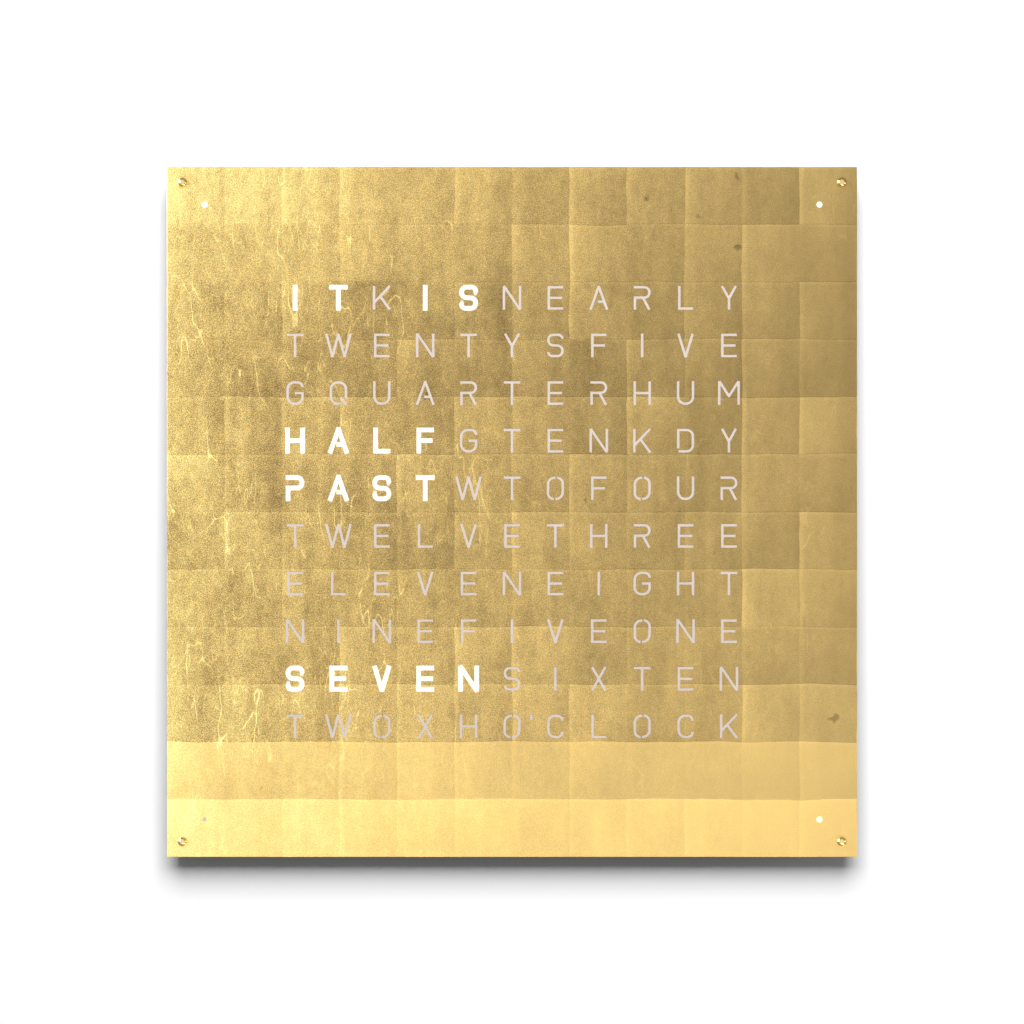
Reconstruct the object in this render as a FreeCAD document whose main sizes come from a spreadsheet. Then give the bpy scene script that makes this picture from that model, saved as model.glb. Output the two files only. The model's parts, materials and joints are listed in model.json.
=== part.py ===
"""A square wall word clock: gilded face plate, opal sheet, light grid, lamp boards and slim frame.

Millimetres. +X runs to the viewer's right, +Z up, and the face looks along -Y. The origin is the
middle of the back, on the wall. A depth is a distance from the wall, towards the viewer.
"""
import FreeCAD
import Part
import Sketcher
import math
import os
import re

LETTER_COLUMNS = 11
LETTER_ROWS = 10
BUTTONS = ("hour", "minute", "brightness", "standby")
CORNERS = ("bottom_left", "top_left", "top_right", "bottom_right")
SIDES = ("bottom", "left", "top", "right")
QUARTER_TURN = 90

SIZES = {
    # Face plate, its corner fixings and its four minute dots
    "plate_side": 900.0,
    "plate_thickness": 2.0,
    "plate_overhang": 8.0,
    "plate_edge_break": 0.4,
    "screw_inset": 20.0,
    "minute_offset": 29.0,
    "minute_hole": 5.0,
    "bolt_diameter": 4.9,
    "bolt_clearance": 0.05,
    "bolt_length": 10.0,
    "plate_hole_clearance": 0.3,
    "bolt_head_side": 7.0,
    "bolt_head_thickness": 1.2,
    "cap_diameter": 13.0,
    "cap_height": 5.5,
    "cap_rim": 0.8,
    "cap_clearance": 0.1,
    "insert_side": 8.0,
    "insert_clearance": 0.05,
    "insert_length": 10.0,
    # Opal sheet and the light grid behind the letters
    "diffuser_thickness": 3.0,
    "sheet_gap": 0.3,
    "column_pitch": 56.6,
    "row_pitch": 62.1,
    "grid_depth": 18.0,
    "slat_thickness": 2.0,
    "slat_tail": 5.0,
    "notch_clearance": 0.1,
    # Lamp boards on their spacers
    "board_thickness": 1.6,
    "board_margin": 15.0,
    "board_seam": 0.4,
    "board_post_inset": 4.5,
    "seam_post_inset": 15.0,
    "lamp_side": 5.0,
    "lamp_height": 1.6,
    "wiring_space": 10.9,
    "post_foot": 7.0,
    "post_neck": 3.0,
    "post_clearance": 0.1,
    "post_hook": 0.8,
    "post_hook_height": 1.6,
    # Reflector cups of the minute dots
    "cup_side": 30.0,
    "cup_wall": 2.0,
    "reflector_throat": 10.0,
    "cup_floor": 3.0,
    # Wiring
    "ribbon_width": 8.0,
    "ribbon_thickness": 1.2,
    "ribbon_slack": 0.4,
    "plug_width": 6.0,
    "plug_depth": 4.0,
    "trunk_place": 30.0,
    "trunk_reach": 180.0,
    # Frame rails and corner blocks
    "rail_wall": 2.5,
    "shelf_width": 12.0,
    "shelf_thickness": 2.0,
    "flange_width": 10.0,
    "flange_thickness": 2.0,
    "boss_reach": 7.5,
    "arm_length": 50.0,
    "arm_width": 8.0,
    "arm_core_wall": 2.0,
    "arm_core_depth": 18.0,
    # Back panel and hangers
    "back_thickness": 1.5,
    "hanger_spacing": 400.0,
    "hanger_inset": 85.0,
    "hanger_width": 64.0,
    "hanger_height": 44.0,
    "hanger_thickness": 2.0,
    "keyhole_entry": 11.0,
    "keyhole_slot": 5.2,
    "keyhole_drop": 14.0,
    "keyhole_centre": 1.0,
    "window_width": 22.0,
    "window_height": 36.0,
    # Control board with its buttons, power inlet and light sensor
    "control_margin": 20.0,
    "control_edge_gap": 3.5,
    "control_height": 56.0,
    "control_post_inset": 5.0,
    "button_first": 60.0,
    "button_pitch": 20.0,
    "button_side": 7.6,
    "button_clearance": 0.2,
    "button_protrusion": 1.0,
    "button_edge": 0.4,
    "button_flange": 10.0,
    "button_flange_thickness": 1.2,
    "button_travel": 0.8,
    "button_spare": 0.5,
    "stem_side": 3.4,
    "stem_clearance": 0.1,
    "stem_engagement": 1.8,
    "switch_side": 6.0,
    "switch_length": 6.0,
    "switch_bore_depth": 3.5,
    "inlet_place": 0.0,
    "inlet_width": 9.0,
    "inlet_height": 10.0,
    "inlet_length": 14.0,
    "inlet_nose": 8.6,
    "inlet_nose_clearance": 0.2,
    "inlet_bore": 5.6,
    "inlet_bore_depth": 9.5,
    "inlet_pin": 2.0,
    "inlet_pin_recess": 1.0,
    "pipe_side": 4.0,
    "pipe_clearance": 0.1,
    "pipe_flange": 6.0,
    "pipe_flange_thickness": 1.0,
    "pipe_rod": 3.0,
    "pipe_length": 8.0,
    "sensor_side": 5.0,
    "sensor_length": 3.0,
    "cell_diameter": 20.0,
    "cell_thickness": 3.2,
    "chip_side": 12.0,
    "chip_height": 1.4,
    "chip_from_top": 14.0,
}

PLACES = {
    # Depths, from the wall forwards
    "flange_front": "back_thickness + flange_thickness",
    "board_back": "back_thickness + wiring_space",
    "board_front": "board_back + board_thickness",
    "diffuser_back": "board_front + grid_depth",
    "shelf_back": "diffuser_back - shelf_thickness",
    "plate_back": "diffuser_back + diffuser_thickness",
    "plate_front": "plate_back + plate_thickness",
    "grid_middle": "board_front + grid_depth / 2",
    "button_depth": "board_front + switch_side / 2",
    "inlet_depth": "board_front + inlet_height / 2",
    # Half widths and places, from the middle outwards
    "plate_half": "plate_side / 2",
    "body_half": "plate_half - plate_overhang",
    "inner_half": "body_half - rail_wall",
    "sheet_half": "inner_half - sheet_gap",
    "screw_place": "plate_half - screw_inset",
    "minute_place": "screw_place - minute_offset",
    "boss_edge": "screw_place - boss_reach",
    "grid_half_width": f"column_pitch * {LETTER_COLUMNS} / 2",
    "grid_half_height": f"row_pitch * {LETTER_ROWS} / 2",
    "board_half_width": "grid_half_width + board_margin",
    "board_half_height": "grid_half_height + board_margin",
    "board_post_side": "board_half_width - board_post_inset",
    "board_post_end": "board_half_height - board_post_inset",
    "hanger_place": "plate_half - hanger_inset",
    "entry_place": "keyhole_centre - keyhole_drop / 2",
    "slot_place": "keyhole_centre + keyhole_drop / 2",
    "button_last": f"button_first + button_pitch * {len(BUTTONS) - 1}",
    "control_left": "inlet_place - control_margin",
    "control_right": "button_last + control_margin",
    "control_low": "control_edge_gap - inner_half",
    "control_high": "control_low + control_height",
    "control_post_low": "flange_width + post_foot - inner_half",
    "control_post_high": "control_high - control_post_inset",
    "switch_face": "rail_wall + button_flange_thickness + button_travel + button_spare",
    "pipe_place": "button_first - button_pitch",
}


def formula(text):
    """Point every size name in a formula at its cell, and open up the named places."""
    def swap(match):
        word = match.group(0)
        if word in PLACES:
            return "(" + formula(PLACES[word]) + ")"
        return "Sizes." + word if word in SIZES else word
    return re.sub(r"[a-z_]+", swap, str(text))


def number(sheet, text):
    """The value of a formula, as a plain number."""
    return float(sheet.evalExpression(formula(text)))


def make_sheet(doc):
    """Write the driving dimensions into a spreadsheet, one named cell each."""
    sheet = doc.addObject("Spreadsheet::Sheet", "Sizes")
    for row, (alias, value) in enumerate(SIZES.items(), start=1):
        sheet.set(f"A{row}", alias)
        sheet.set(f"B{row}", str(value))
        sheet.setAlias(f"B{row}", alias)
    doc.recompute()
    return sheet


class Piece:
    """One sub-part: a body whose sketches and features follow the sheet."""

    def __init__(self, doc, label, place=(0, 0, 0), turn=0):
        self.doc = doc
        self.sheet = doc.getObject("Sizes")
        self.body = doc.addObject("PartDesign::Body", label)
        self.body.Label = label
        self.body.Placement.Rotation = FreeCAD.Rotation(FreeCAD.Vector(0, 1, 0), turn)
        for axis, text in zip("xyz", place):
            self.body.setExpression(f"Placement.Base.{axis}", formula(text))
        self.origin = {item.Role: item for item in self.body.Origin.OriginFeatures}

    def sketch(self, plane, loops, offset=(0, 0, 0)):
        """Draw closed loops on one of the body's own planes, moved by an offset."""
        drawing = self.body.newObject("Sketcher::SketchObject", "outline")
        drawing.AttachmentSupport = (self.origin[plane], "")
        drawing.MapMode = "FlatFace"
        for axis, text in zip("xyz", offset):
            drawing.setExpression(f"AttachmentOffset.Base.{axis}", formula(text))
        for loop in loops:
            if isinstance(loop, tuple):
                self.draw_circle(drawing, *loop)
            else:
                self.draw_loop(drawing, loop)
        return drawing

    def bind(self, drawing, kind, spot, text):
        """Add one dimension to a sketch and tie it to its formula."""
        value = number(self.sheet, text)
        index = drawing.addConstraint(Sketcher.Constraint(kind, *spot, value))
        drawing.setExpression(f"Constraints[{index}]", formula(text))

    def draw_circle(self, drawing, across, up, radius):
        """A full circle about a centre."""
        centre = FreeCAD.Vector(number(self.sheet, across), number(self.sheet, up), 0)
        round_edge = Part.Circle(centre, FreeCAD.Vector(0, 0, 1), number(self.sheet, radius))
        edge = drawing.addGeometry(round_edge)
        self.bind(drawing, "DistanceX", (-1, 1, edge, 3), across)
        self.bind(drawing, "DistanceY", (-1, 1, edge, 3), up)
        self.bind(drawing, "Radius", (edge,), radius)

    def draw_loop(self, drawing, corners):
        """Straight edges from corner to corner, anticlockwise.

        A corner with a third entry starts an arc of that radius, which bulges outwards.
        """
        spots = [FreeCAD.Vector(number(self.sheet, c[0]), number(self.sheet, c[1]), 0) for c in corners]
        first = drawing.GeometryCount
        count = len(corners)
        for index, corner in enumerate(corners):
            start = spots[index]
            end = spots[(index + 1) % count]
            if len(corner) == 3:
                drawing.addGeometry(arc_between(start, end, number(self.sheet, corner[2])))
            else:
                drawing.addGeometry(Part.LineSegment(start, end))
        for index, corner in enumerate(corners):
            edge = first + index
            following = first + (index + 1) % count
            drawing.addConstraint(Sketcher.Constraint("Coincident", edge, 2, following, 1))
            self.bind(drawing, "DistanceX", (-1, 1, edge, 1), corner[0])
            self.bind(drawing, "DistanceY", (-1, 1, edge, 1), corner[1])
            if len(corner) == 3:
                self.bind(drawing, "Radius", (edge,), corner[2])

    def pad(self, plane, loops, length, offset=(0, 0, 0)):
        """Add material from a sketch along its normal: forwards from XZ, +X from YZ, +Z from XY."""
        feature = self.body.newObject("PartDesign::Pad", "pad")
        feature.Profile = self.sketch(plane, loops, offset)
        feature.setExpression("Length", formula(length))
        return self.finish(feature)

    def pocket(self, plane, loops, offset=(0, 0, 0), length=None, forwards=False):
        """Cut a sketch against its normal, or along it when forwards, through or to a length."""
        feature = self.body.newObject("PartDesign::Pocket", "pocket")
        feature.Profile = self.sketch(plane, loops, offset)
        feature.Reversed = forwards
        if length is None:
            feature.Type = "ThroughAll"
        else:
            feature.setExpression("Length", formula(length))
        return self.finish(feature)

    def turned(self, plane, corners, offset=(0, 0, 0)):
        """Add a profile revolved about the sketch's upright axis."""
        profile = self.sketch(plane, [corners], offset)
        feature = self.body.newObject("PartDesign::Revolution", "revolution")
        feature.Profile = profile
        feature.ReferenceAxis = (profile, ["V_Axis"])
        feature.Angle = 360
        return self.finish(feature)

    def chamfered(self, test, size):
        """Chamfer the edges that pass a test."""
        self.doc.recompute()
        base = self.body.Tip
        names = [f"Edge{i}" for i, edge in enumerate(base.Shape.Edges, start=1) if test(edge)]
        feature = self.body.newObject("PartDesign::Chamfer", "chamfer")
        feature.Base = (base, names)
        feature.setExpression("Size", formula(size))
        return self.finish(feature)

    def patterned(self, originals, steps):
        """Repeat features; a step is an axis, a length and a count, or a number of quarter turns."""
        patterns = []
        for step in steps:
            if isinstance(step, int):
                pattern = self.doc.addObject("PartDesign::PolarPattern", "turns")
                pattern.Axis = (self.origin["Y_Axis"], [""])
                pattern.Angle = 360
                pattern.Occurrences = step
            else:
                axis, length, count = step
                pattern = self.doc.addObject("PartDesign::LinearPattern", "row")
                pattern.Direction = (self.origin[axis], [""])
                pattern.setExpression("Length", formula(length))
                pattern.Occurrences = count
            patterns.append(pattern)
        feature = self.body.newObject("PartDesign::MultiTransform", "repeat")
        feature.Originals = originals
        feature.Transformations = patterns
        return self.finish(feature)

    def finish(self, feature):
        """Make a feature the body's last one."""
        self.body.Tip = feature
        return feature


def arc_between(start, end, radius):
    """The arc from start to end that turns anticlockwise about a centre on the left of the run."""
    run = end.sub(start)
    rise = math.sqrt(max(radius * radius - run.Length * run.Length / 4, 0))
    left = FreeCAD.Vector(-run.y, run.x, 0).normalize()
    centre = start.add(run.multiply(0.5)).add(left.multiply(rise))
    angles = [math.atan2(spot.y - centre.y, spot.x - centre.x) for spot in (start, end)]
    return Part.ArcOfCircle(Part.Circle(centre, FreeCAD.Vector(0, 0, 1), radius), *angles)


def square(half):
    """A square loop about the middle."""
    return block(f"-({half})", half, f"-({half})", half)


def block(left, right, low, high):
    """A rectangular loop."""
    return [(left, low), (right, low), (right, high), (left, high)]


def four_ways(place):
    """The four corners of a square about the middle."""
    return [(f"{a} * ({place})", f"{b} * ({place})") for a in (-1, 1) for b in (-1, 1)]


def around(across, up, half):
    """A square loop about a spot."""
    return block(f"{across} - ({half})", f"{across} + {half}", f"{up} - ({half})", f"{up} + {half}")


def front_plate(doc):
    """The gilded face: a thin square plate with holes for the corner bolts and the minute dots."""
    piece = Piece(doc, "front_plate")
    piece.pad("XZ_Plane", [square("plate_half")], "plate_thickness", (0, 0, "plate_back"))
    front = -number(piece.sheet, "plate_front")

    def outer_front(edge):
        return edge.BoundBox.YMax < front + 1e-6
    piece.chamfered(outer_front, "plate_edge_break")
    bolts = [(*spot, "bolt_diameter / 2 + plate_hole_clearance") for spot in four_ways("screw_place")]
    dots = [(*spot, "minute_hole / 2") for spot in four_ways("minute_place")]
    piece.pocket("XZ_Plane", bolts + dots, (0, 0, "plate_front"))
    return piece.body


def notched_square(half, notch):
    """A square loop whose four corners are cut back in steps to the notch line."""
    corners = []
    for turn in range(4):
        run = [(f"-({notch})", f"-({half})"), (notch, f"-({half})"), (notch, f"-({notch})")]
        corners += [quarter_turned(spot, turn) for spot in run]
    return corners


def quarter_turned(spot, turns):
    """A spot turned anticlockwise about the middle by quarter turns."""
    across, up = spot
    for _ in range(turns):
        across, up = f"-({up})", across
    return across, up


def diffuser_sheet(doc):
    """The opal sheet behind the letters, notched round the corner bosses."""
    piece = Piece(doc, "diffuser_sheet")
    outline = notched_square("sheet_half", "boss_edge - sheet_gap")
    piece.pad("XZ_Plane", [outline], "diffuser_thickness", (0, 0, "diffuser_back"))
    return piece.body


def corner_steps(place):
    """The steps of a pattern that takes the lower left corner's features to all four corners."""
    return [("X_Axis", f"2 * {place}", 2), ("Z_Axis", f"2 * {place}", 2)]


def corner_bolts(doc):
    """Square-headed bolts that clamp the plate on to the corner inserts."""
    piece = Piece(doc, "corner_screws")
    spot = ("-screw_place", "-screw_place")
    head = piece.pad("XZ_Plane", [around(*spot, "bolt_head_side / 2")], "bolt_head_thickness",
                     (0, 0, "plate_front"))
    shank = piece.pad("XZ_Plane", [(*spot, "bolt_diameter / 2")], "bolt_length",
                      (0, 0, "plate_front - bolt_length"))
    piece.patterned([head, shank], corner_steps("screw_place"))
    return piece.body


def corner_caps(doc):
    """Domed caps that press over the bolt heads."""
    piece = Piece(doc, "corner_caps")
    foot = "-plate_front"
    rise = "(cap_height - cap_rim)"
    dome = f"(cap_diameter * cap_diameter / 4 + {rise} * {rise}) / (2 * {rise})"
    cap = piece.turned("XY_Plane", [
        ("cap_diameter / 2", foot), (0, foot), (0, f"{foot} - cap_height", dome),
        ("cap_diameter / 2", f"{foot} - cap_rim")], ("-screw_place", 0, "-screw_place"))
    recess = around("-screw_place", "-screw_place", "bolt_head_side / 2 + cap_clearance")
    seat = piece.pocket("XZ_Plane", [recess], (0, 0, "plate_front"), "bolt_head_thickness", forwards=True)
    piece.patterned([cap, seat], corner_steps("screw_place"))
    return piece.body


def corner_inserts(doc):
    """Square brass bushes in the corner blocks, bored for the bolts."""
    piece = Piece(doc, "corner_inserts")
    loops = [around("-screw_place", "-screw_place", "insert_side / 2"),
             ("-screw_place", "-screw_place", "bolt_diameter / 2 + bolt_clearance")]
    bush = piece.pad("XZ_Plane", loops, "insert_length", (0, 0, "plate_back - insert_length"))
    piece.patterned([bush], corner_steps("screw_place"))
    return piece.body


def frame_rail(doc, side, turn):
    """One mitred rail: outer wall, front shelf under the opal sheet, rear flange for the back."""
    piece = Piece(doc, "frame_rail_" + side, turn=turn)
    outer = "-body_half"
    wall = "-inner_half"
    shelf = "shelf_width - inner_half"
    flange = "flange_width - inner_half"
    section = [
        (0, outer), (0, wall), ("-back_thickness", wall), ("-back_thickness", flange),
        ("-flange_front", flange), ("-flange_front", wall), ("-shelf_back", wall),
        ("-shelf_back", shelf), ("-diffuser_back", shelf), ("-diffuser_back", wall),
        ("-plate_back", wall), ("-plate_back", outer)]
    section.reverse()
    piece.pad("YZ_Plane", [section], "2 * body_half", (0, 0, "-body_half"))
    reach = "(rail_wall + shelf_width + flange_width)"
    inner = f"body_half - {reach}"
    past = "body_half + rail_wall"
    mitres = [
        [(past, f"-({past})"), (past, f"-({inner})"), (inner, f"-({inner})")],
        [(f"-({past})", f"-({past})"), (f"-({inner})", f"-({inner})"), (f"-({past})", f"-({inner})")]]
    piece.pocket("XZ_Plane", mitres, (0, 0, "plate_back"))
    cut = "boss_edge - sheet_gap"
    clear = f"{shelf} + 1"
    ends = [block(cut, "body_half", wall, clear), block("-body_half", f"-({cut})", wall, clear)]
    piece.pocket("XZ_Plane", ends, (0, 0, "diffuser_back"), "shelf_thickness")
    if side == "bottom":
        pierce_for_controls(piece)
    return piece.body


def button_spots():
    """The places of the buttons along the bottom rail."""
    return [f"button_first + {index} * button_pitch" for index in range(len(BUTTONS))]


def pierce_for_controls(piece):
    """Holes through the bottom rail for the buttons, the light pipe and the power inlet."""
    holes = [around(spot, "-button_depth", "button_side / 2 + button_clearance") for spot in button_spots()]
    holes.append(around("pipe_place", "-button_depth", "pipe_side / 2 + pipe_clearance"))
    holes.append(("inlet_place", "-inlet_depth", "inlet_nose / 2 + inlet_nose_clearance"))
    piece.pocket("XY_Plane", holes, (0, 0, "-inner_half"))


def corner_block(doc, corner, turn):
    """A moulded corner key: two cored arms along the rails and a boss that carries the plate."""
    piece = Piece(doc, "corner_block_" + corner, turn=turn)
    low = "-inner_half"
    boss = "-boss_edge"
    thin = "arm_width - inner_half"
    end = "arm_length - inner_half"
    outline = [(low, low), (end, low), (end, thin), (boss, thin), (boss, boss), (thin, boss),
               (thin, end), (low, end)]
    piece.pad("XZ_Plane", [outline], "shelf_back - flange_front", (0, 0, "flange_front"))
    piece.pad("XZ_Plane", [block(low, boss, low, boss)], "plate_back - shelf_back", (0, 0, "shelf_back"))
    seat = around("-screw_place", "-screw_place", "insert_side / 2 + insert_clearance")
    piece.pocket("XZ_Plane", [seat], (0, 0, "plate_back"), "insert_length")
    tail = around("-screw_place", "-screw_place", "bolt_diameter / 2 + plate_hole_clearance")
    piece.pocket("XZ_Plane", [tail], (0, 0, "plate_back"), "insert_length + bolt_length / 2")
    start = "arm_core_wall - boss_edge"
    stop = f"{end} - arm_core_wall"
    near = f"{low} + arm_core_wall"
    far = f"{thin} - arm_core_wall"
    cores = [block(start, stop, near, far), block(near, far, start, stop)]
    piece.pocket("XZ_Plane", cores, (0, 0, "flange_front"), "arm_core_depth", forwards=True)
    return piece.body


def slat(doc, label, plane, place, half_length, crossing, first, pitch, count, from_front):
    """One slat of the grid, notched to half its depth wherever it crosses another slat.

    Column slats are notched from the front and row slats from the back, so that they interlock.
    """
    piece = Piece(doc, label, place=place)
    upright = plane == "YZ_Plane"

    def strip(back, front, low, high):
        if upright:
            return block(f"-({front})", f"-({back})", low, high)
        return block(low, high, f"-({front})", f"-({back})")
    edge = (0, 0, "-slat_thickness / 2")
    whole = strip("board_front", "diffuser_back", f"-({half_length})", half_length)
    piece.pad(plane, [whole], "slat_thickness", edge)
    near = f"{first} - ({crossing})"
    far = f"{first} + ({crossing})"
    if from_front:
        notch = strip("grid_middle - notch_clearance", "diffuser_back + 1", near, far)
    else:
        notch = strip("board_front - 1", "grid_middle + notch_clearance", near, far)
    cut = piece.pocket(plane, [notch], (0, 0, "slat_thickness"))
    axis = "Z_Axis" if upright else "X_Axis"
    piece.patterned([cut], [(axis, f"{count - 1} * {pitch}", count)])
    return piece.body


def light_grid(doc):
    """The egg-crate grid: a slat between every two letters, upright and level."""
    crossing = "slat_thickness / 2 + notch_clearance"
    tall = "grid_half_height + slat_thickness / 2 + slat_tail"
    wide = "grid_half_width + slat_thickness / 2 + slat_tail"
    pieces = []
    for index in range(LETTER_COLUMNS + 1):
        place = (f"{index} * column_pitch - grid_half_width", 0, 0)
        pieces.append(slat(doc, f"grid_column_{index + 1:02d}", "YZ_Plane", place, tall, crossing,
                           "-grid_half_height", "row_pitch", LETTER_ROWS + 1, True))
    for index in range(LETTER_ROWS + 1):
        place = (0, 0, f"{index} * row_pitch - grid_half_height")
        pieces.append(slat(doc, f"grid_row_{index + 1:02d}", "XY_Plane", place, wide, crossing,
                           "-grid_half_width", "column_pitch", LETTER_COLUMNS + 1, False))
    return pieces


def lamp_board_posts():
    """The posts under the upper lamp board; the lower one has them turned by half a turn."""
    return [("-board_post_side", "board_post_end"), (0, "board_post_end"),
            ("board_post_side", "board_post_end"), ("-board_post_side", "seam_post_inset"),
            ("board_post_side", "seam_post_inset")]


def control_posts():
    """The posts under the control board."""
    return [(across, up) for across in ("control_left + control_post_inset",
                                        "control_right - control_post_inset")
            for up in ("control_post_low", "control_post_high")]


def post_slots(spots):
    """The square slots through a board for its posts."""
    return [around(*spot, "post_neck / 2 + post_clearance") for spot in spots]


def led_board(doc, half, turn):
    """Half of the lamp matrix: a board with one lamp behind each letter."""
    piece = Piece(doc, "led_board_" + half, turn=turn)
    outline = block("-board_half_width", "board_half_width", "board_seam / 2", "board_half_height")
    piece.pad("XZ_Plane", [outline], "board_thickness", (0, 0, "board_back"))
    piece.pocket("XZ_Plane", post_slots(lamp_board_posts()), (0, 0, "board_front"))
    columns = LETTER_COLUMNS - 1
    rows = LETTER_ROWS // 2 - 1
    lamp = around(f"-{columns} * column_pitch / 2", "row_pitch / 2", "lamp_side / 2")
    pad = piece.pad("XZ_Plane", [lamp], "lamp_height", (0, 0, "board_front"))
    piece.patterned([pad], [("X_Axis", f"{columns} * column_pitch", columns + 1),
                            ("Z_Axis", f"{rows} * row_pitch", rows + 1)])
    return piece.body


def board_posts(doc):
    """Snap posts on the back panel: a foot under the board, a neck through it, a hook in front."""
    piece = Piece(doc, "board_standoffs")
    upper = lamp_board_posts()
    lower = [(f"-({across})", f"-({up})") for across, up in upper]
    spots = upper + lower + control_posts()

    def stage(half, back, front):
        loops = [around(*spot, half) for spot in spots]
        piece.pad("XZ_Plane", loops, f"{front} - {back}", (0, 0, back))
    stage("post_foot / 2", "back_thickness", "board_back")
    stage("post_neck / 2", "board_back", "board_front")
    stage("post_neck / 2 + post_hook", "board_front", "(board_front + post_hook_height)")
    return piece.body


def minute_cup(doc, corner, across, up):
    """A light-tight cup behind a minute dot: board pocket behind, light well in front."""
    piece = Piece(doc, "minute_cup_" + corner, place=(across, 0, up))
    inside = "cup_side / 2 - cup_wall"
    piece.pad("XZ_Plane", [square("cup_side / 2")], "diffuser_back - back_thickness",
              (0, 0, "back_thickness"))
    piece.pocket("XZ_Plane", [square(inside)], (0, 0, "back_thickness"),
                 "board_front - back_thickness", forwards=True)
    piece.pocket("XZ_Plane", [square(inside)], (0, 0, "diffuser_back"), "grid_depth - cup_floor")
    piece.pocket("XZ_Plane", [square("reflector_throat / 2")], (0, 0, "board_front + cup_floor"),
                 "cup_floor")
    channel = "ribbon_width / 2 + ribbon_slack"
    reach = "cup_side"
    depth = "ribbon_thickness + ribbon_slack"
    for run in (block(f"-{reach}", reach, f"-({channel})", channel),
                block(f"-({channel})", channel, f"-{reach}", reach)):
        piece.pocket("XZ_Plane", [run], (0, 0, "back_thickness"), depth, forwards=True)
    return piece.body


def minute_boards(doc):
    """The four small boards of the minute dots, each with its lamp."""
    piece = Piece(doc, "minute_led_boards")
    half = "cup_side / 2 - cup_wall - sheet_gap"
    spot = ("-minute_place", "-minute_place")
    board = piece.pad("XZ_Plane", [around(*spot, half)], "board_thickness", (0, 0, "board_back"))
    lamp = piece.pad("XZ_Plane", [around(*spot, "lamp_side / 2")], "lamp_height", (0, 0, "board_front"))
    piece.patterned([board, lamp], corner_steps("minute_place"))
    return piece.body


def wiring_harness(doc):
    """Flat leads on the back panel: a ring past the minute dots, a trunk and the risers."""
    piece = Piece(doc, "wiring_harness")
    half = "ribbon_width / 2"
    ring = [square(f"minute_place + {half}"), square(f"minute_place - {half}")]
    piece.pad("XZ_Plane", ring, "ribbon_thickness", (0, 0, "back_thickness"))
    trunk = block(f"trunk_place - {half}", f"trunk_place + {half}", "-minute_place", "trunk_reach")
    piece.pad("XZ_Plane", [trunk], "ribbon_thickness", (0, 0, "back_thickness"))
    spots = four_ways("minute_place")
    spots += [("trunk_place", up) for up in ("-minute_place", "-trunk_reach", "trunk_reach - plug_depth")]
    plugs = [block(f"{across} - plug_width / 2", f"{across} + plug_width / 2",
                   f"{up} - plug_depth / 2", f"{up} + plug_depth / 2") for across, up in spots]
    piece.pad("XZ_Plane", plugs, "wiring_space", (0, 0, "back_thickness"))
    return piece.body


def back_panel(doc):
    """The rear cover, with a window at each keyhole."""
    piece = Piece(doc, "back_panel")
    piece.pad("XZ_Plane", [square("sheet_half")], "back_thickness")
    level = "hanger_place + keyhole_centre"
    windows = []
    for side in (-1, 1):
        centre = f"{side} * hanger_spacing / 2"
        windows.append(block(f"{centre} - window_width / 2", f"{centre} + window_width / 2",
                             f"{level} - window_height / 2", f"{level} + window_height / 2"))
    piece.pocket("XZ_Plane", windows, (0, 0, "back_thickness"))
    return piece.body


def hanger(doc, side, sign):
    """A keyhole hanger plate, spot-welded to the inside of the back panel."""
    piece = Piece(doc, "hanger_" + side, place=(f"{sign} * hanger_spacing / 2", 0, "hanger_place"))
    outline = block("-hanger_width / 2", "hanger_width / 2", "-hanger_height / 2", "hanger_height / 2")
    piece.pad("XZ_Plane", [outline], "hanger_thickness", (0, 0, "back_thickness"))
    half = "keyhole_slot / 2"
    for loop in ((0, "entry_place", "keyhole_entry / 2"),
                 block(f"-{half}", half, "entry_place", "slot_place"), (0, "slot_place", half)):
        piece.pocket("XZ_Plane", [loop], (0, 0, "back_thickness + hanger_thickness"))
    return piece.body


def control_board(doc):
    """The board behind the bottom rail, with its processor and the ambient light sensor."""
    piece = Piece(doc, "control_board")
    outline = block("control_left", "control_right", "control_low", "control_high")
    piece.pad("XZ_Plane", [outline], "board_thickness", (0, 0, "board_back"))
    piece.pocket("XZ_Plane", post_slots(control_posts()), (0, 0, "board_front"))
    chip = around("pipe_place", "control_high - chip_from_top", "chip_side / 2")
    piece.pad("XZ_Plane", [chip], "chip_height", (0, 0, "board_front"))
    tip = "pipe_length - body_half"
    sensor = block("pipe_place - sensor_side / 2", "pipe_place + sensor_side / 2", tip,
                   f"{tip} + sensor_length")
    piece.pad("XZ_Plane", [sensor], "switch_side / 2 + pipe_rod / 2", (0, 0, "board_front"))
    return piece.body


def coin_cell(doc):
    """The cell that keeps the time when the power is off."""
    piece = Piece(doc, "coin_cell")
    disc = ("(button_first + button_last) / 2", "control_high - chip_from_top", "cell_diameter / 2")
    piece.pad("XZ_Plane", [disc], "cell_thickness", (0, 0, "board_front"))
    return piece.body


def button_switches(doc):
    """Side-acting switches on the control board, each with a bore for a button's stem."""
    piece = Piece(doc, "button_switches")
    half = "switch_side / 2"
    face = "switch_face - body_half"
    bodies = [block(f"{spot} - {half}", f"{spot} + {half}", face, f"{face} + switch_length")
              for spot in button_spots()]
    piece.pad("XZ_Plane", bodies, "switch_side", (0, 0, "board_front"))
    bores = [around(spot, "-button_depth", "stem_side / 2 + stem_clearance") for spot in button_spots()]
    piece.pocket("XY_Plane", bores, (0, 0, face), "switch_bore_depth", forwards=True)
    return piece.body


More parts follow.
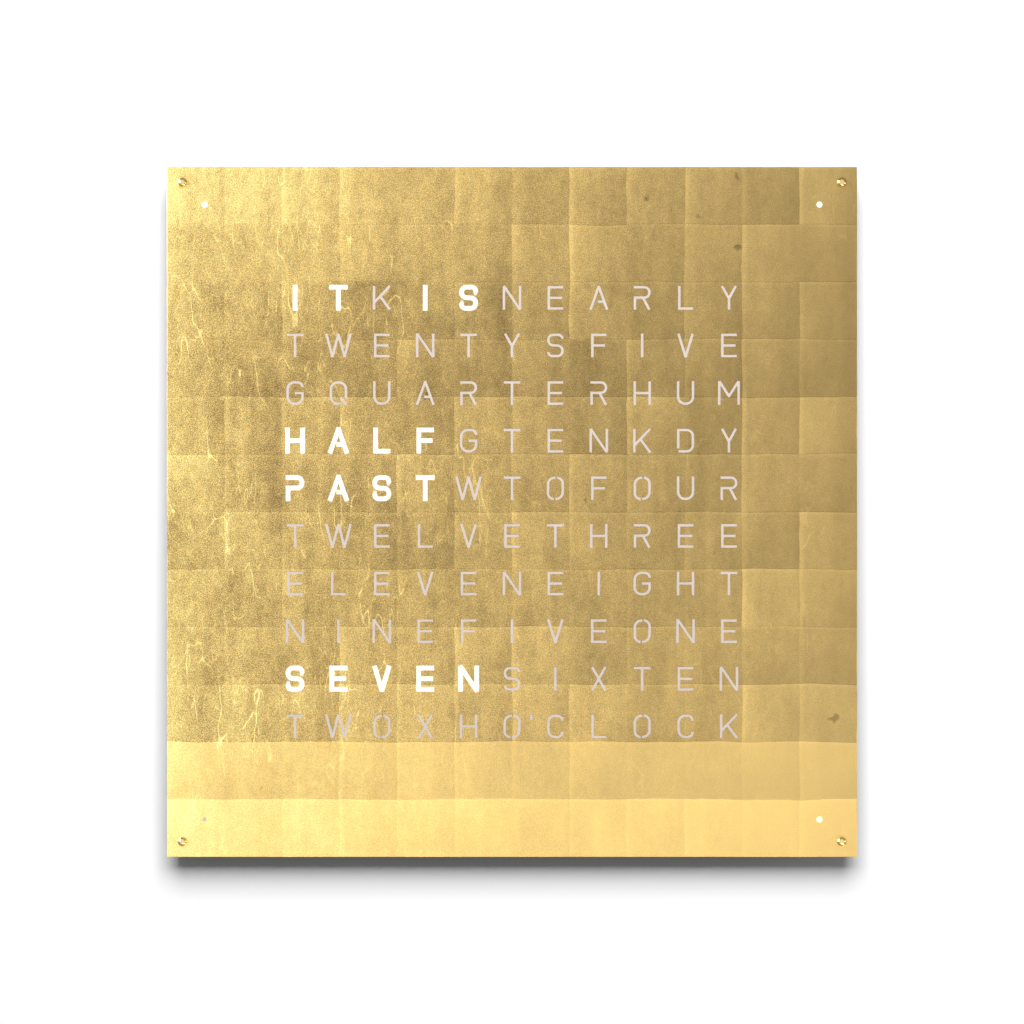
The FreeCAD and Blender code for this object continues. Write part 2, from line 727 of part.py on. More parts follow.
def button(doc, name, spot):
    """A push button: cap through the rail, flange behind the wall, stem into its switch."""
    piece = Piece(doc, "button_" + name, place=(spot, "-button_depth", "-body_half"))
    piece.pad("XY_Plane", [square("button_side / 2")], "button_protrusion + rail_wall",
              (0, 0, "-button_protrusion"))
    end = -number(piece.sheet, "button_protrusion")

    def outer_end(edge):
        return edge.BoundBox.ZMax < end + 1e-6
    piece.chamfered(outer_end, "button_edge")
    shoulder = "rail_wall + button_flange_thickness"
    piece.pad("XY_Plane", [square("button_flange / 2")], "button_flange_thickness", (0, 0, "rail_wall"))
    piece.pad("XY_Plane", [square("stem_side / 2")], f"switch_face + stem_engagement - ({shoulder})",
              (0, 0, shoulder))
    return piece.body


def power_inlet(doc):
    """The low-voltage socket: a housing behind the rail, a round nose through it, a centre pin."""
    piece = Piece(doc, "power_inlet", place=("inlet_place", "-inlet_depth", "-body_half"))
    housing = block("-inlet_width / 2", "inlet_width / 2", "-inlet_height / 2", "inlet_height / 2")
    piece.pad("XY_Plane", [housing], "inlet_length", (0, 0, "rail_wall"))
    piece.pad("XY_Plane", [(0, 0, "inlet_nose / 2")], "rail_wall")
    piece.pocket("XY_Plane", [(0, 0, "inlet_bore / 2")], length="inlet_bore_depth", forwards=True)
    piece.pad("XY_Plane", [(0, 0, "inlet_pin / 2")], "inlet_bore_depth - inlet_pin_recess",
              (0, 0, "inlet_pin_recess"))
    return piece.body


def light_pipe(doc):
    """A clear rod that brings the room's light to the sensor, held behind the rail by a flange."""
    piece = Piece(doc, "light_pipe", place=("pipe_place", "-button_depth", "-body_half"))
    shoulder = "rail_wall + pipe_flange_thickness"
    piece.pad("XY_Plane", [square("pipe_side / 2")], "rail_wall")
    piece.pad("XY_Plane", [square("pipe_flange / 2")], "pipe_flange_thickness", (0, 0, "rail_wall"))
    piece.pad("XY_Plane", [square("pipe_rod / 2")], f"pipe_length - ({shoulder})", (0, 0, shoulder))
    return piece.body


def build(doc):
    """Make every sub-part, in the order in which the clock is put together from the wall out."""
    pieces = [back_panel(doc), hanger(doc, "left", -1), hanger(doc, "right", 1)]
    for index, side in enumerate(SIDES):
        pieces.append(frame_rail(doc, side, index * QUARTER_TURN))
    for index, corner in enumerate(CORNERS):
        pieces.append(corner_block(doc, corner, index * QUARTER_TURN))
    pieces += [wiring_harness(doc), board_posts(doc), led_board(doc, "upper", 0),
               led_board(doc, "lower", 2 * QUARTER_TURN)]
    pieces += [control_board(doc), coin_cell(doc), button_switches(doc), power_inlet(doc),
               light_pipe(doc)]
    pieces += [button(doc, name, spot) for name, spot in zip(BUTTONS, button_spots())]
    pieces += light_grid(doc)
    for corner in CORNERS:
        across = "-minute_place" if corner.endswith("left") else "minute_place"
        up = "-minute_place" if corner.startswith("bottom") else "minute_place"
        pieces.append(minute_cup(doc, corner, across, up))
    pieces += [minute_boards(doc), diffuser_sheet(doc), corner_inserts(doc), front_plate(doc),
               corner_bolts(doc), corner_caps(doc)]
    return pieces


def check(doc, pieces):
    """Stop if any feature failed or any sub-part's shape is empty or not valid."""
    for item in doc.Objects:
        if "Invalid" in item.State or "Error" in item.State:
            raise RuntimeError(f"{item.Label}: {item.State}")
    for piece in pieces:
        if piece.Shape.isNull() or not piece.Shape.isValid():
            raise RuntimeError(f"{piece.Label} has no valid shape")


def main():
    """Build the clock and write each sub-part to its own file."""
    doc = FreeCAD.newDocument("WordClock")
    make_sheet(doc)
    pieces = build(doc)
    doc.recompute()
    check(doc, pieces)
    os.makedirs("parts", exist_ok=True)
    for piece in pieces:
        piece.Shape.exportStep(f"parts/{piece.Label}.step")
        solids = len(piece.Shape.Solids)
        print(f"{piece.Label}: {solids} solids, {piece.Shape.Volume / 1000:.2f} cm3")
    print(f"{len(pieces)} sub-parts")


main()
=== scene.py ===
"""Dresses the word clock: a gold leaf face with letter openings, opal windows, domes and frame.

Everything is in metres in the clock's own frame: +X to the viewer's right, +Z up, and the face
looks along -Y, with the wall at y = 0.
"""
import json
import logging
import math
from dataclasses import dataclass, field
from enum import Enum
from typing import Dict, List, Optional, Sequence, Tuple, Union

import bpy
import numpy as np
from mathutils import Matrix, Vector
from mathutils.geometry import delaunay_2d_cdt


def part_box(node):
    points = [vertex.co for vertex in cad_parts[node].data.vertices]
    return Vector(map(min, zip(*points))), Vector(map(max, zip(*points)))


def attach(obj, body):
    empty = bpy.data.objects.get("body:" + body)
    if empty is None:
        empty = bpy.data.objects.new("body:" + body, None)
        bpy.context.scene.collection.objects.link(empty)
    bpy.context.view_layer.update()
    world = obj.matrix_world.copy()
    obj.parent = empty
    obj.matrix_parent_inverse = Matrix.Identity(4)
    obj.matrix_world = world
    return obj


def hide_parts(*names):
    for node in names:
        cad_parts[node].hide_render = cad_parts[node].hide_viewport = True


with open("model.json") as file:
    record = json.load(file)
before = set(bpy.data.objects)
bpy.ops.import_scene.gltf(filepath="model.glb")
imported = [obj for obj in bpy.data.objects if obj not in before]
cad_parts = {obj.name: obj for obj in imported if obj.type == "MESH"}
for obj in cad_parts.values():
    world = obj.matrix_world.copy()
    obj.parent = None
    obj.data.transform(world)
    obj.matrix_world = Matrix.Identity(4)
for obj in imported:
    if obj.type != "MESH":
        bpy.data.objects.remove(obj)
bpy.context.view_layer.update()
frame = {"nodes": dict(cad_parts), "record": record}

MM = 0.001
LOG = logging.getLogger("word_clock")

Colour = Tuple[float, float, float]
Number = Union[int, float]


class Light(Enum):
    """Whether a letter or a dot has its lamp on."""

    ON = "lit"
    OFF = "dark"


def paint(red: Number, green: Number, blue: Number) -> Colour:
    """A colour as a screen shows it, from 0 to 255, turned into the linear values that nodes hold.

    Args:
        red, green, blue: screen values from 0 to 255.

    Returns:
        The three linear values.
    """
    screen = np.array([red, green, blue]) / 255.0
    linear = np.where(screen <= 0.04045, screen / 12.92, ((screen + 0.055) / 1.055) ** 2.4)
    return tuple(float(value) for value in linear)


class Wire:
    """An output socket that can be used in sums, so that shader maths reads as plain formulas."""

    def __init__(self, graph: "Tree", socket: bpy.types.NodeSocket) -> None:
        """Keep the socket and the graph that owns it."""
        self.graph = graph
        self.socket = socket

    def maths(self, operation: str, *values: "Value") -> "Wire":
        """The result of a Math node with these values."""
        return self.graph.wire("ShaderNodeMath", {"operation": operation}, dict(enumerate(values)))

    def __add__(self, other: "Value") -> "Wire":
        """This value plus another."""
        return self.maths("ADD", self, other)

    def __sub__(self, other: "Value") -> "Wire":
        """This value minus another."""
        return self.maths("SUBTRACT", self, other)

    def __rsub__(self, other: "Value") -> "Wire":
        """Another value minus this one."""
        return self.maths("SUBTRACT", other, self)

    def __mul__(self, other: "Value") -> "Wire":
        """This value times another."""
        return self.maths("MULTIPLY", self, other)

    def __truediv__(self, other: "Value") -> "Wire":
        """This value divided by another."""
        return self.maths("DIVIDE", self, other)

    __radd__ = __add__
    __rmul__ = __mul__

    def floor(self) -> "Wire":
        """The whole number below."""
        return self.maths("FLOOR", self)

    def size(self) -> "Wire":
        """The value without its sign."""
        return self.maths("ABSOLUTE", self)

    def ramp(self, low: Number, high: Number, start: Number = 0.0, stop: Number = 1.0) -> "Wire":
        """Smoothly from start at low to stop at high, and level beyond both.

        Args:
            low, high: the values between which it changes.
            start, stop: what it gives at low and at high.

        Returns:
            The changed value.
        """
        settings = {"interpolation_type": "SMOOTHSTEP"}
        values = {0: self, 1: low, 2: high, 3: start, 4: stop}
        return self.graph.wire("ShaderNodeMapRange", settings, values)


Value = Union[Wire, Number]


class Tree:
    """The nodes of a material or a world."""

    def __init__(self, owner: Union[bpy.types.Material, bpy.types.World]) -> None:
        """Empty the owner's nodes."""
        owner.use_nodes = True
        self.tree = owner.node_tree
        self.tree.nodes.clear()

    def node(self, kind: str, settings: Optional[Dict] = None, values: Optional[Dict] = None):
        """Add any node.

        Args:
            kind: the node's type.
            settings: its own settings, set before its sockets; stops are (place, colour) pairs.
            values: numbers, colours or wires, by socket name or place.

        Returns:
            The node.
        """
        made = self.tree.nodes.new(kind)
        for key, setting in (settings or {}).items():
            if key == "stops":
                self.set_stops(made.color_ramp, setting)
            else:
                setattr(made, key, setting)
        for key, value in (values or {}).items():
            self.feed(made.inputs[key], value)
        return made

    def wire(self, kind: str, settings: Optional[Dict] = None, values: Optional[Dict] = None,
             output: Union[int, str] = 0) -> Wire:
        """Add a node and take one of its outputs."""
        return Wire(self, self.node(kind, settings, values).outputs[output])

    def feed(self, socket: bpy.types.NodeSocket, value) -> None:
        """Link a wire or a node's first output into a socket, or write a constant on it."""
        if isinstance(value, Wire):
            self.tree.links.new(value.socket, socket)
        elif isinstance(value, bpy.types.Node):
            self.tree.links.new(value.outputs[0], socket)
        elif isinstance(value, tuple) and len(socket.default_value) == 4:
            socket.default_value = (*value, 1.0)
        else:
            socket.default_value = value

    @staticmethod
    def set_stops(ramp: bpy.types.ColorRamp, stops: Sequence[Tuple[float, Colour]]) -> None:
        """Give a colour ramp its stops."""
        while len(ramp.elements) < len(stops):
            ramp.elements.new(1.0)
        for element, (place, colour) in zip(ramp.elements, stops):
            element.position = place
            element.color = (*colour, 1.0)

    def tint(self, factor: Value, start, stop) -> Wire:
        """Mix two colours."""
        made = self.node("ShaderNodeMix", {"data_type": "RGBA", "clamp_factor": True})
        for order, value in ((0, factor), (6, start), (7, stop)):
            self.feed(made.inputs[order], value)
        return Wire(self, made.outputs[2])


class Graph(Tree):
    """One material: an output, a principled shader and the patterns that feed it."""

    def __init__(self, name: str) -> None:
        """Make the material."""
        self.material = bpy.data.materials.new(name)
        super().__init__(self.material)
        self.shader = self.node("ShaderNodeBsdfPrincipled")
        self.output = self.node("ShaderNodeOutputMaterial", values={"Surface": self.shader})

    def finish(self, **values) -> bpy.types.Material:
        """Write the principled shader's sockets, with spaces for underscores."""
        for name, value in values.items():
            self.feed(self.shader.inputs[name.replace("_", " ")], value)
        return self.material

    def place(self) -> Wire:
        """The point on the object, in metres."""
        return self.wire("ShaderNodeTexCoord", output="Object")

    def axes(self) -> Tuple[Wire, Wire, Wire]:
        """The point's three coordinates."""
        parts = self.node("ShaderNodeSeparateXYZ", values={0: self.place()})
        return tuple(Wire(self, socket) for socket in parts.outputs)

    def noise(self, scale: Tuple[float, float, float], detail: float = 2.0,
              seed: float = 0.0, roughness: float = 0.5) -> Wire:
        """Cloudy noise about 0.5.

        Args:
            scale: how many cells a metre, along each axis.
            detail: how many finer layers.
            seed: how far the pattern is moved, to tell one from another.
            roughness: how strong the finer layers are.

        Returns:
            The noise.
        """
        moved = self.wire("ShaderNodeMapping", values={
            "Vector": self.place(), "Location": (seed, seed * 0.7, seed * 1.3), "Scale": scale})
        values = {"Vector": moved, "Scale": 1.0, "Detail": detail, "Roughness": roughness}
        return self.wire("ShaderNodeTexNoise", {"noise_dimensions": "3D"}, values)

    def chance(self, across: Value, up: Value, seed: float) -> Wire:
        """A number from 0 to 1 for each pair of whole numbers."""
        spot = self.wire("ShaderNodeCombineXYZ", values={0: across, 1: up, 2: seed})
        return self.wire("ShaderNodeTexWhiteNoise", {"noise_dimensions": "3D"}, {"Vector": spot})

    def bump(self, height: Wire, strength: float, distance: float) -> Wire:
        """A normal bent by a height in metres times the distance."""
        values = {"Strength": strength, "Distance": distance, "Height": height}
        return self.wire("ShaderNodeBump", values=values, output="Normal")


@dataclass(frozen=True)
class GoldLeaf:
    """Squares of loose leaf laid in rows, each row lapping the last, with sandy grain and wrinkles.

    A tone from 0 to 1 is worked out for every point, and a ramp turns it into the colour. The tone
    holds painted light: paler at the foot and to the left, darker in the middle rows and to the
    right.
    """

    half_side: float
    leaves: int = 12
    wobble: float = 0.022
    tones: Tuple[Tuple[float, Colour], ...] = (
        (0.30, paint(92, 76, 44)), (0.44, paint(134, 112, 67)), (0.59, paint(179, 152, 96)),
        (0.71, paint(214, 183, 116)), (0.83, paint(249, 213, 132)), (0.91, paint(255, 232, 143)),
        (1.00, paint(255, 252, 172)))
    # Painted light: each band is a height up the face, the painted tone there, and how much the
    # painted light falls from left to right.
    painted_light_bands: Tuple[Tuple[float, float, float], ...] = (
        (0.05, 0.84, 0.12), (0.28, 0.63, 0.05), (0.80, 0.61, 0.10), (1.0, 0.75, 0.33))
    row_spread: float = 0.04

    def row_tone(self, graph: Graph, row: Wire, painted_side_light: Wire) -> Wire:
        """The tone of a row of leaves with painted light: pale foot, darker middle, mild head.

        Each band is a height, the painted light's tone there and how far that painted light falls
        across the face, darker to the right. A row also differs from its neighbours by chance.

        Args:
            graph: the material.
            row: the row's number.
            painted_side_light: the painted light across the face, stronger the further to the left a
                point lies.

        Returns:
            The tone.
        """
        stops = tuple((place, (tone, slope, 0.0)) for place, tone, slope in self.painted_light_bands)
        ramp = graph.wire("ShaderNodeValToRGB", {"stops": stops}, {0: (row + 0.5) / self.leaves})
        parts = graph.node("ShaderNodeSeparateColor", values={0: ramp})
        tone = Wire(graph, parts.outputs[0]) + painted_side_light * Wire(graph, parts.outputs[1])
        return tone + (graph.chance(0.0, row, 5.0) - 0.5) * self.row_spread

    def wrinkles(self, graph: Graph, share: Wire) -> Wire:
        """Thin bright veins that run mostly upright, in patches, fewer towards the right."""
        wave = graph.noise((34, 34, 10), 1.6, 5.0, 0.45)
        net = graph.noise((78, 78, 26), 1.6, 12.0, 0.5)
        fewer = share.ramp(0.05, 0.65, 1, 0.16)
        patch = (graph.noise((9, 9, 12), 3, 15.0) + fewer * 0.10).ramp(0.52, 0.68)
        broken = graph.noise((56, 56, 34), 2, 18.0).ramp(0.40, 0.58)
        vein = (wave - 0.5).size().ramp(0.0, 0.011, 1, 0)
        crease = (net - 0.5).size().ramp(0.0, 0.020, 1, 0)
        return (vein * (patch + 0.22) + crease * (patch * 0.75)) * (broken * fewer)

    def build(self) -> bpy.types.Material:
        """Make the material.

        Returns:
            The gold leaf.
        """
        graph = Graph("gold_leaf")
        across, _, up = graph.axes()
        pitch = 2 * self.half_side / self.leaves
        share = across / (2 * self.half_side) + 0.5
        sway = (graph.noise((16, 16, 16), 3, 2.0) - 0.5) * (4 * self.wobble)
        drift = (graph.noise((12, 12, 12), 4, 9.0) - 0.5) * (4 * self.wobble)
        column = (across + self.half_side) / pitch + sway
        row = (up + self.half_side) / pitch + drift
        column_part, row_part = column - column.floor(), row - row.floor()
        chance = graph.chance(column.floor(), row.floor(), 3.0)
        foot = row.floor().ramp(1.4, 1.6, 1, 0)
        # Painted light: the face is painted brighter to the left and darker to the right.
        painted_side_light = share.ramp(-0.1, 0.75, 0.5, -0.4)
        # Painted light: a little brighter along the left edge of the face.
        edge = share.ramp(0.0, 0.10, 1, 0)
        grain = graph.noise((1050, 1050, 1050), 2, 1.0, 0.6) - 0.5
        mottle = graph.noise((95, 95, 60), 3, 8.0, 0.55) - 0.5
        streak = graph.noise((42, 42, 6), 3, 6.0) - 0.5
        cloud = graph.noise((6, 6, 6), 3, 4.0) - 0.5
        blotch = (graph.noise((21, 21, 15), 4, 14.0, 0.6) - 0.5) * (1 - share * 0.75)
        wrinkle = self.wrinkles(graph, share)
        smudge = graph.noise((30, 30, 30), 3, 21.0).ramp(0.735, 0.79)
        smooth = 1 - foot * 0.52
        rough = (1 - share * 0.84) * smooth
        seam = row_part.ramp(0.0, 0.022, 1, 0) * 0.8 + column_part.ramp(0.0, 0.014, 1, 0) * 0.15
        rim = row_part.ramp(0.93, 0.99) * 0.5 + column_part.ramp(0.02, 0.12, 1, 0) * chance
        tone = self.row_tone(graph, row.floor(), painted_side_light)
        # (edge, 0.06) is the painted light at the left edge; each leaf is also made a little brighter
        # at its top and its left, and along its lapped top rim.
        for part, weight in (
                (edge, 0.06), (chance - 0.5, smooth * 0.065), (row_part - 0.5, 0.03),
                (0.5 - column_part, chance * smooth * 0.075), (grain, rough * 1.8),
                (mottle, rough * 0.26), (streak, smooth * (0.24 - share * 0.17)), (cloud, 0.08),
                (blotch, smooth * 0.33), (wrinkle, smooth * 0.27), (rim, smooth * 0.05),
                (seam, smooth * -0.045 - 0.03), (smudge, -0.14)):
            tone = tone + part * weight
        gold = graph.wire("ShaderNodeValToRGB", {"stops": self.tones}, {0: tone})
        height = wrinkle + grain * 0.6 + streak * 0.4 + rim * 0.4 - seam
        glow = graph.wire("ShaderNodeAttribute", {"attribute_name": "glow"}, output="Fac")
        halo = graph.tint(glow, (0.0, 0.0, 0.0), (1.0, 1.0, 1.0))
        return graph.finish(
            Base_Color=gold, Metallic=0.94, Roughness=0.46 + grain * 0.2 - wrinkle * 0.06,
            Normal=graph.bump(height, 0.5, 0.0003), Emission_Color=halo, Emission_Strength=1.0)


@dataclass(frozen=True)
class Metal:
    """A bare or polished metal with fine turning or drawing marks."""

    name: str
    colour: Colour
    shade: Colour
    roughness: float
    marks: Tuple[float, float, float] = (900, 900, 900)
    mark_depth: float = 0.00002

    def build(self) -> bpy.types.Material:
        """Make the material."""
        graph = Graph(self.name)
        marks = graph.noise(self.marks, 2, 3.0)
        cloud = graph.noise((40, 40, 40), 3, 5.0)
        return graph.finish(
            Base_Color=graph.tint(cloud.ramp(0.35, 0.7), self.colour, self.shade), Metallic=1.0,
            Roughness=self.roughness + (marks - 0.5) * (self.roughness * 0.5),
            Normal=graph.bump(marks, 0.4, self.mark_depth))


@dataclass(frozen=True)
class Coat:
    """A painted, moulded or printed surface with a fine texture and slow changes of shade."""

    name: str
    colour: Colour
    shade: Colour
    roughness: float
    grain: float = 1500.0
    grain_depth: float = 0.00005
    metallic: float = 0.0

    def build(self) -> bpy.types.Material:
        """Make the material."""
        graph = Graph(self.name)
        grain = graph.noise((self.grain,) * 3, 2, 4.0)
        cloud = graph.noise((11, 11, 11), 3, 6.0)
        speck = graph.noise((self.grain * 0.6,) * 3, 1, 8.0).ramp(0.60, 0.72)
        colour = graph.tint(cloud.ramp(0.35, 0.7), self.colour, self.shade)
        bright = tuple(min(1.0, part * 1.35) for part in self.colour)
        colour = graph.tint(speck * 0.35, colour, bright)
        return graph.finish(
            Base_Color=colour, Metallic=self.metallic,
            Roughness=self.roughness + (grain - 0.5) * 0.16,
            Normal=graph.bump(grain, 0.5, self.grain_depth))


@dataclass(frozen=True)
class Opal:
    """White diffusing plastic, alone or with a lamp behind it."""

    name: str
    colour: Colour
    light: Light = Light.OFF
    glow: float = 1.0

    def build(self) -> bpy.types.Material:
        """Make the material; faint clouds keep it from being one flat white."""
        graph = Graph(self.name)
        cloud = graph.noise((60, 60, 60), 3, 2.0)
        fine = graph.noise((900, 900, 900), 1, 3.0)
        warm = tuple(part * 0.94 for part in self.colour)
        colour = graph.tint(cloud.ramp(0.3, 0.7), self.colour, warm)
        strength = self.glow if self.light is Light.ON else 0.0
        return graph.finish(
            Base_Color=colour, Roughness=0.34 + (fine - 0.5) * 0.1, Emission_Color=colour,
            Emission_Strength=strength, Normal=graph.bump(fine, 0.3, 0.00002))


Spot = Tuple[float, float]


@dataclass(frozen=True)
class Stroke:
    """A run of corners in a glyph's own units, with its corners rounded.

    The units are the half width and the half height between stroke middles. A capped stroke
    runs half a stroke's width past its ends.
    """

    corners: Tuple[Spot, ...]
    radius: float = 0.0
    capped: bool = True


def bars(*runs: Tuple[Spot, Spot]) -> List[Stroke]:
    """Straight capped strokes."""
    return [Stroke(run) for run in runs]


def slants(*runs: Tuple[Spot, Spot]) -> List[Stroke]:
    """Straight strokes that end flat, for sloping legs."""
    return [Stroke(run, capped=False) for run in runs]


TOP = 1.12
STEM = ((-1, 1), (-1, -1))
FAR_STEM = ((1, 1), (1, -1))
HEAD = ((-1, 1), (1, 1))
FOOT = ((-1, -1), (1, -1))
EAR = [Stroke(((-1, 1), (1, 1), (1, 0.02), (-1, 0.02)), 6.4)]
HALF_STEM = ((-1, 0.02), (-1, -1))

GLYPHS: Dict[str, Tuple[float, List[Stroke]]] = {
    "A": (25.0, slants(((-1, -TOP), (0.02, TOP)), ((-0.02, TOP), (1, -TOP)),
                       ((-0.12, -0.36), (0.64, -0.36)))),
    "C": (21.5, [Stroke(((1, 0.52), (1, 1), (-1, 1), (-1, -1), (1, -1), (1, -0.52)), 8.8, False)]),
    "D": (22.4, [Stroke(((-1, 1), (1, 1), (1, -1), (-0.8, -1)), 8.0),
                 Stroke(((-1, 1), (-1, -0.62)))]),
    "E": (20.5, bars(STEM, HEAD, FOOT, ((-1, 0), (0.82, 0)))),
    "F": (20.0, bars(STEM, HEAD, ((-1, 0), (0.78, 0)))),
    "G": (22.8, [Stroke(((1, 0.55), (1, 1), (-1, 1), (-1, -1), (1, -1), (1, 0)), 8.8, False),
                 Stroke(((0.15, 0), (1, 0)))]),
    "H": (22.8, bars(STEM, FAR_STEM, ((-1, 0), (1, 0)))),
    "I": (3.3, bars(((0, 1), (0, -1)))),
    "K": (23.7, bars(STEM) + slants(((1.02, TOP), (-0.95, -0.42)), ((-0.18, 0.1), (1.05, -TOP)))),
    "L": (19.5, bars(STEM, FOOT)),
    "M": (28.5, bars(STEM, FAR_STEM)
          + slants(((-1, TOP), (0.04, -0.36)), ((1, TOP), (-0.04, -0.36)))),
    "N": (24.3, bars(STEM, FAR_STEM) + slants(((-1, TOP), (1, -TOP)))),
    "O": (22.4, [Stroke(((0.02, 1), (-1, 1), (-1, -1), (-0.22, -1)), 8.9, False),
                 Stroke(((0.22, 1), (1, 1), (1, -1), (-0.02, -1)), 8.9, False)]),
    "P": (21.5, EAR + bars(HALF_STEM)),
    "Q": (23.0, [Stroke(((0.3, -1.0), (-1, -1), (-1, 1), (1, 1), (1, -0.5)), 8.9, False)]
          + slants(((0.28, -0.42), (1.08, -TOP)))),
    "R": (22.0, EAR + bars(HALF_STEM) + slants(((0.12, 0.0), (1.0, -TOP)))),
    "S": (21.6, [Stroke(((1, 0.62), (1, 1), (-1, 1), (-1, 0.03), (1, -0.03), (1, -1), (-1, -1),
                         (-1, -0.62)), 6.4, False)]),
    "T": (21.6, bars(HEAD, ((0, 1), (0, -1)))),
    "U": (22.8, [Stroke(((-1, 1), (-1, -1), (1, -1), (1, 1)), 9.2)]),
    "V": (22.0, slants(((-1, TOP), (0.02, -TOP)), ((-0.02, -TOP), (1, TOP)))),
    "W": (35.0, slants(((-1, TOP), (-0.49, -TOP)), ((-0.51, -TOP), (0.01, TOP)),
                       ((-0.01, TOP), (0.51, -TOP)), ((0.49, -TOP), (1, TOP)))),
    "X": (21.0, slants(((-1, TOP), (1, -TOP)), ((-1, -TOP), (1, TOP)))),
    "Y": (21.5, slants(((-1, TOP), (0.02, -0.08)), ((1, TOP), (-0.02, -0.08)))
          + bars(((0, 0), (0, -1)))),
    "'": (3.3, [Stroke(((0, 1), (0, 0.72)))]),
}


@dataclass(frozen=True)
class Lettering:
    """Turns a character into closed outlines, in millimetres about the middle of its cell."""

    cap_height: float = 31.0
    stroke: float = 3.3
    arc_steps: int = 10

    def paths(self, character: str) -> List[Tuple[np.ndarray, bool]]:
        """The middle lines of a character's strokes.

        Args:
            character: one letter of the face.

        Returns:
            Each stroke's points and whether its ends are capped.
        """
        width, strokes = GLYPHS[character]
        reach = np.array([(width - self.stroke) / 2, (self.cap_height - self.stroke) / 2])
        return [(self.rounded(np.array(s.corners) * reach, s.radius), s.capped) for s in strokes]

    def rounded(self, corners: np.ndarray, radius: float) -> np.ndarray:
        """Replace each inner corner by an arc that meets both its runs.

        The arc of radius r at a corner with turn t starts r tan(t / 2) before it, and its centre
        lies r from both runs, on the inside of the turn.

        Args:
            corners: the corner points.
            radius: the arcs' radius, less where a run is too short for it.

        Returns:
            The points of the rounded run.
        """
        if radius == 0 or len(corners) == 2:
            return corners
        points = [corners[:1]]
        last = len(corners) - 2
        triples = zip(corners[:-2], corners[1:-1], corners[2:])
        for order, (before, corner, after) in enumerate(triples, 1):
            incoming = (corner - before) / np.linalg.norm(corner - before)
            outgoing = (after - corner) / np.linalg.norm(after - corner)
            turn = math.acos(float(np.clip(incoming @ outgoing, -1, 1)))
            room = 0.98 * min(np.linalg.norm(corner - before) * (1.0 if order == 1 else 0.5),
                              np.linalg.norm(after - corner) * (1.0 if order == last else 0.5))
            actual = min(radius, room / math.tan(turn / 2))
            start = corner - incoming * actual * math.tan(turn / 2)
            side = np.array([-incoming[1], incoming[0]])
            side = side * math.copysign(1.0, float(side @ outgoing))
            angles = np.linspace(0, turn, self.arc_steps + 1)[:, None]
            centre = start + side * actual
            points.append(centre - actual * (side * np.cos(angles) - incoming * np.sin(angles)))
        points.append(corners[-1:])
        return np.concatenate(points)

    def outline(self, path: np.ndarray, capped: bool, spread: float = 0.0) -> np.ndarray:
        """The band round a path: its points moved to both sides by half a stroke and the spread.

        Args:
            path: the stroke's middle line.
            capped: whether the band runs on past its ends by half a stroke.
            spread: how far the band is widened all round.

        Returns:
            The band's corners in order.
        """
        half = self.stroke / 2 + spread
        runs = np.diff(path, axis=0)
        runs = runs / np.linalg.norm(runs, axis=1, keepdims=True)
        past = (self.stroke / 2 if capped else 0.0) + spread
        line = path.copy()
        line[0] -= runs[0] * past
        line[-1] += runs[-1] * past
        along = np.concatenate([runs[:1], runs[:-1] + runs[1:], runs[-1:]])
        along = along / np.linalg.norm(along, axis=1, keepdims=True)
        side = np.stack([-along[:, 1], along[:, 0]], axis=1) * half
        return np.concatenate([line + side, (line - side)[::-1]])

    def distance(self, character: str, points: np.ndarray) -> np.ndarray:
        """How far points lie outside a character's edge.

        Beside a run it is the distance to its middle line less half a stroke. Past a free end it
        is the greater of the distances to the end's edge and to the run's side.
        """
        nearest = np.full(len(points), np.inf)
        half = self.stroke / 2
        for path, capped in self.paths(character):
            past = half if capped else 0.0
            for order, (start, end) in enumerate(zip(path[:-1], path[1:])):
                length = np.linalg.norm(end - start)
                unit = (end - start) / length
                along = (points - start) @ unit
                off = np.abs((points - start) @ np.array([-unit[1], unit[0]]))
                over = np.maximum(np.maximum(-along, along - length), 0)
                free = ((along < 0) & (order == 0)) | ((along > length) & (order == len(path) - 2))
                nearest = np.minimum(nearest, np.where(
                    free, np.maximum(over - past, off - half), np.hypot(over, off) - half))
        return nearest


def inside(points: np.ndarray, loop: np.ndarray) -> np.ndarray:
    """Which points a closed loop holds: a line to the right crosses it an odd number of times.

    Args:
        points: the points, as rows.
        loop: the loop's corners.

    Returns:
        One truth value for each point.
    """
    start, end = loop, np.roll(loop, -1, axis=0)
    height = points[:, 1][:, None]
    spans = (start[:, 1] > height) != (end[:, 1] > height)
    rise = np.where(end[:, 1] == start[:, 1], 1.0, end[:, 1] - start[:, 1])
    meet = start[:, 0] + (height - start[:, 1]) / rise * (end[:, 0] - start[:, 0])
    return (np.sum(spans & (points[:, 0][:, None] < meet), axis=1) % 2) == 1


def triangulate(loops: Sequence[np.ndarray]) -> Tuple[np.ndarray, np.ndarray]:
    """Cut the hull of all loops into triangles that follow every loop's edges.

    Args:
        loops: closed loops in millimetres.

    Returns:
        The points and the triangles, turned anticlockwise.
    """
    points = np.concatenate(loops)
    edges = []
    first = 0
    for loop in loops:
        count = len(loop)
        edges += [(first + i, first + (i + 1) % count) for i in range(count)]
        first += count
    made = delaunay_2d_cdt([Vector(point) for point in points.tolist()], edges, [], 0, 1e-5)
    spots = np.array([tuple(vertex) for vertex in made[0]])
    triangles = np.array([face for face in made[2] if len(face) == 3])
    a, b, c = (spots[triangles[:, i]] for i in range(3))
    area = (b - a)[:, 0] * (c - a)[:, 1] - (b - a)[:, 1] * (c - a)[:, 0]
    triangles[area < 0] = triangles[area < 0][:, ::-1]
    return spots, triangles[np.abs(area) > 1e-9]


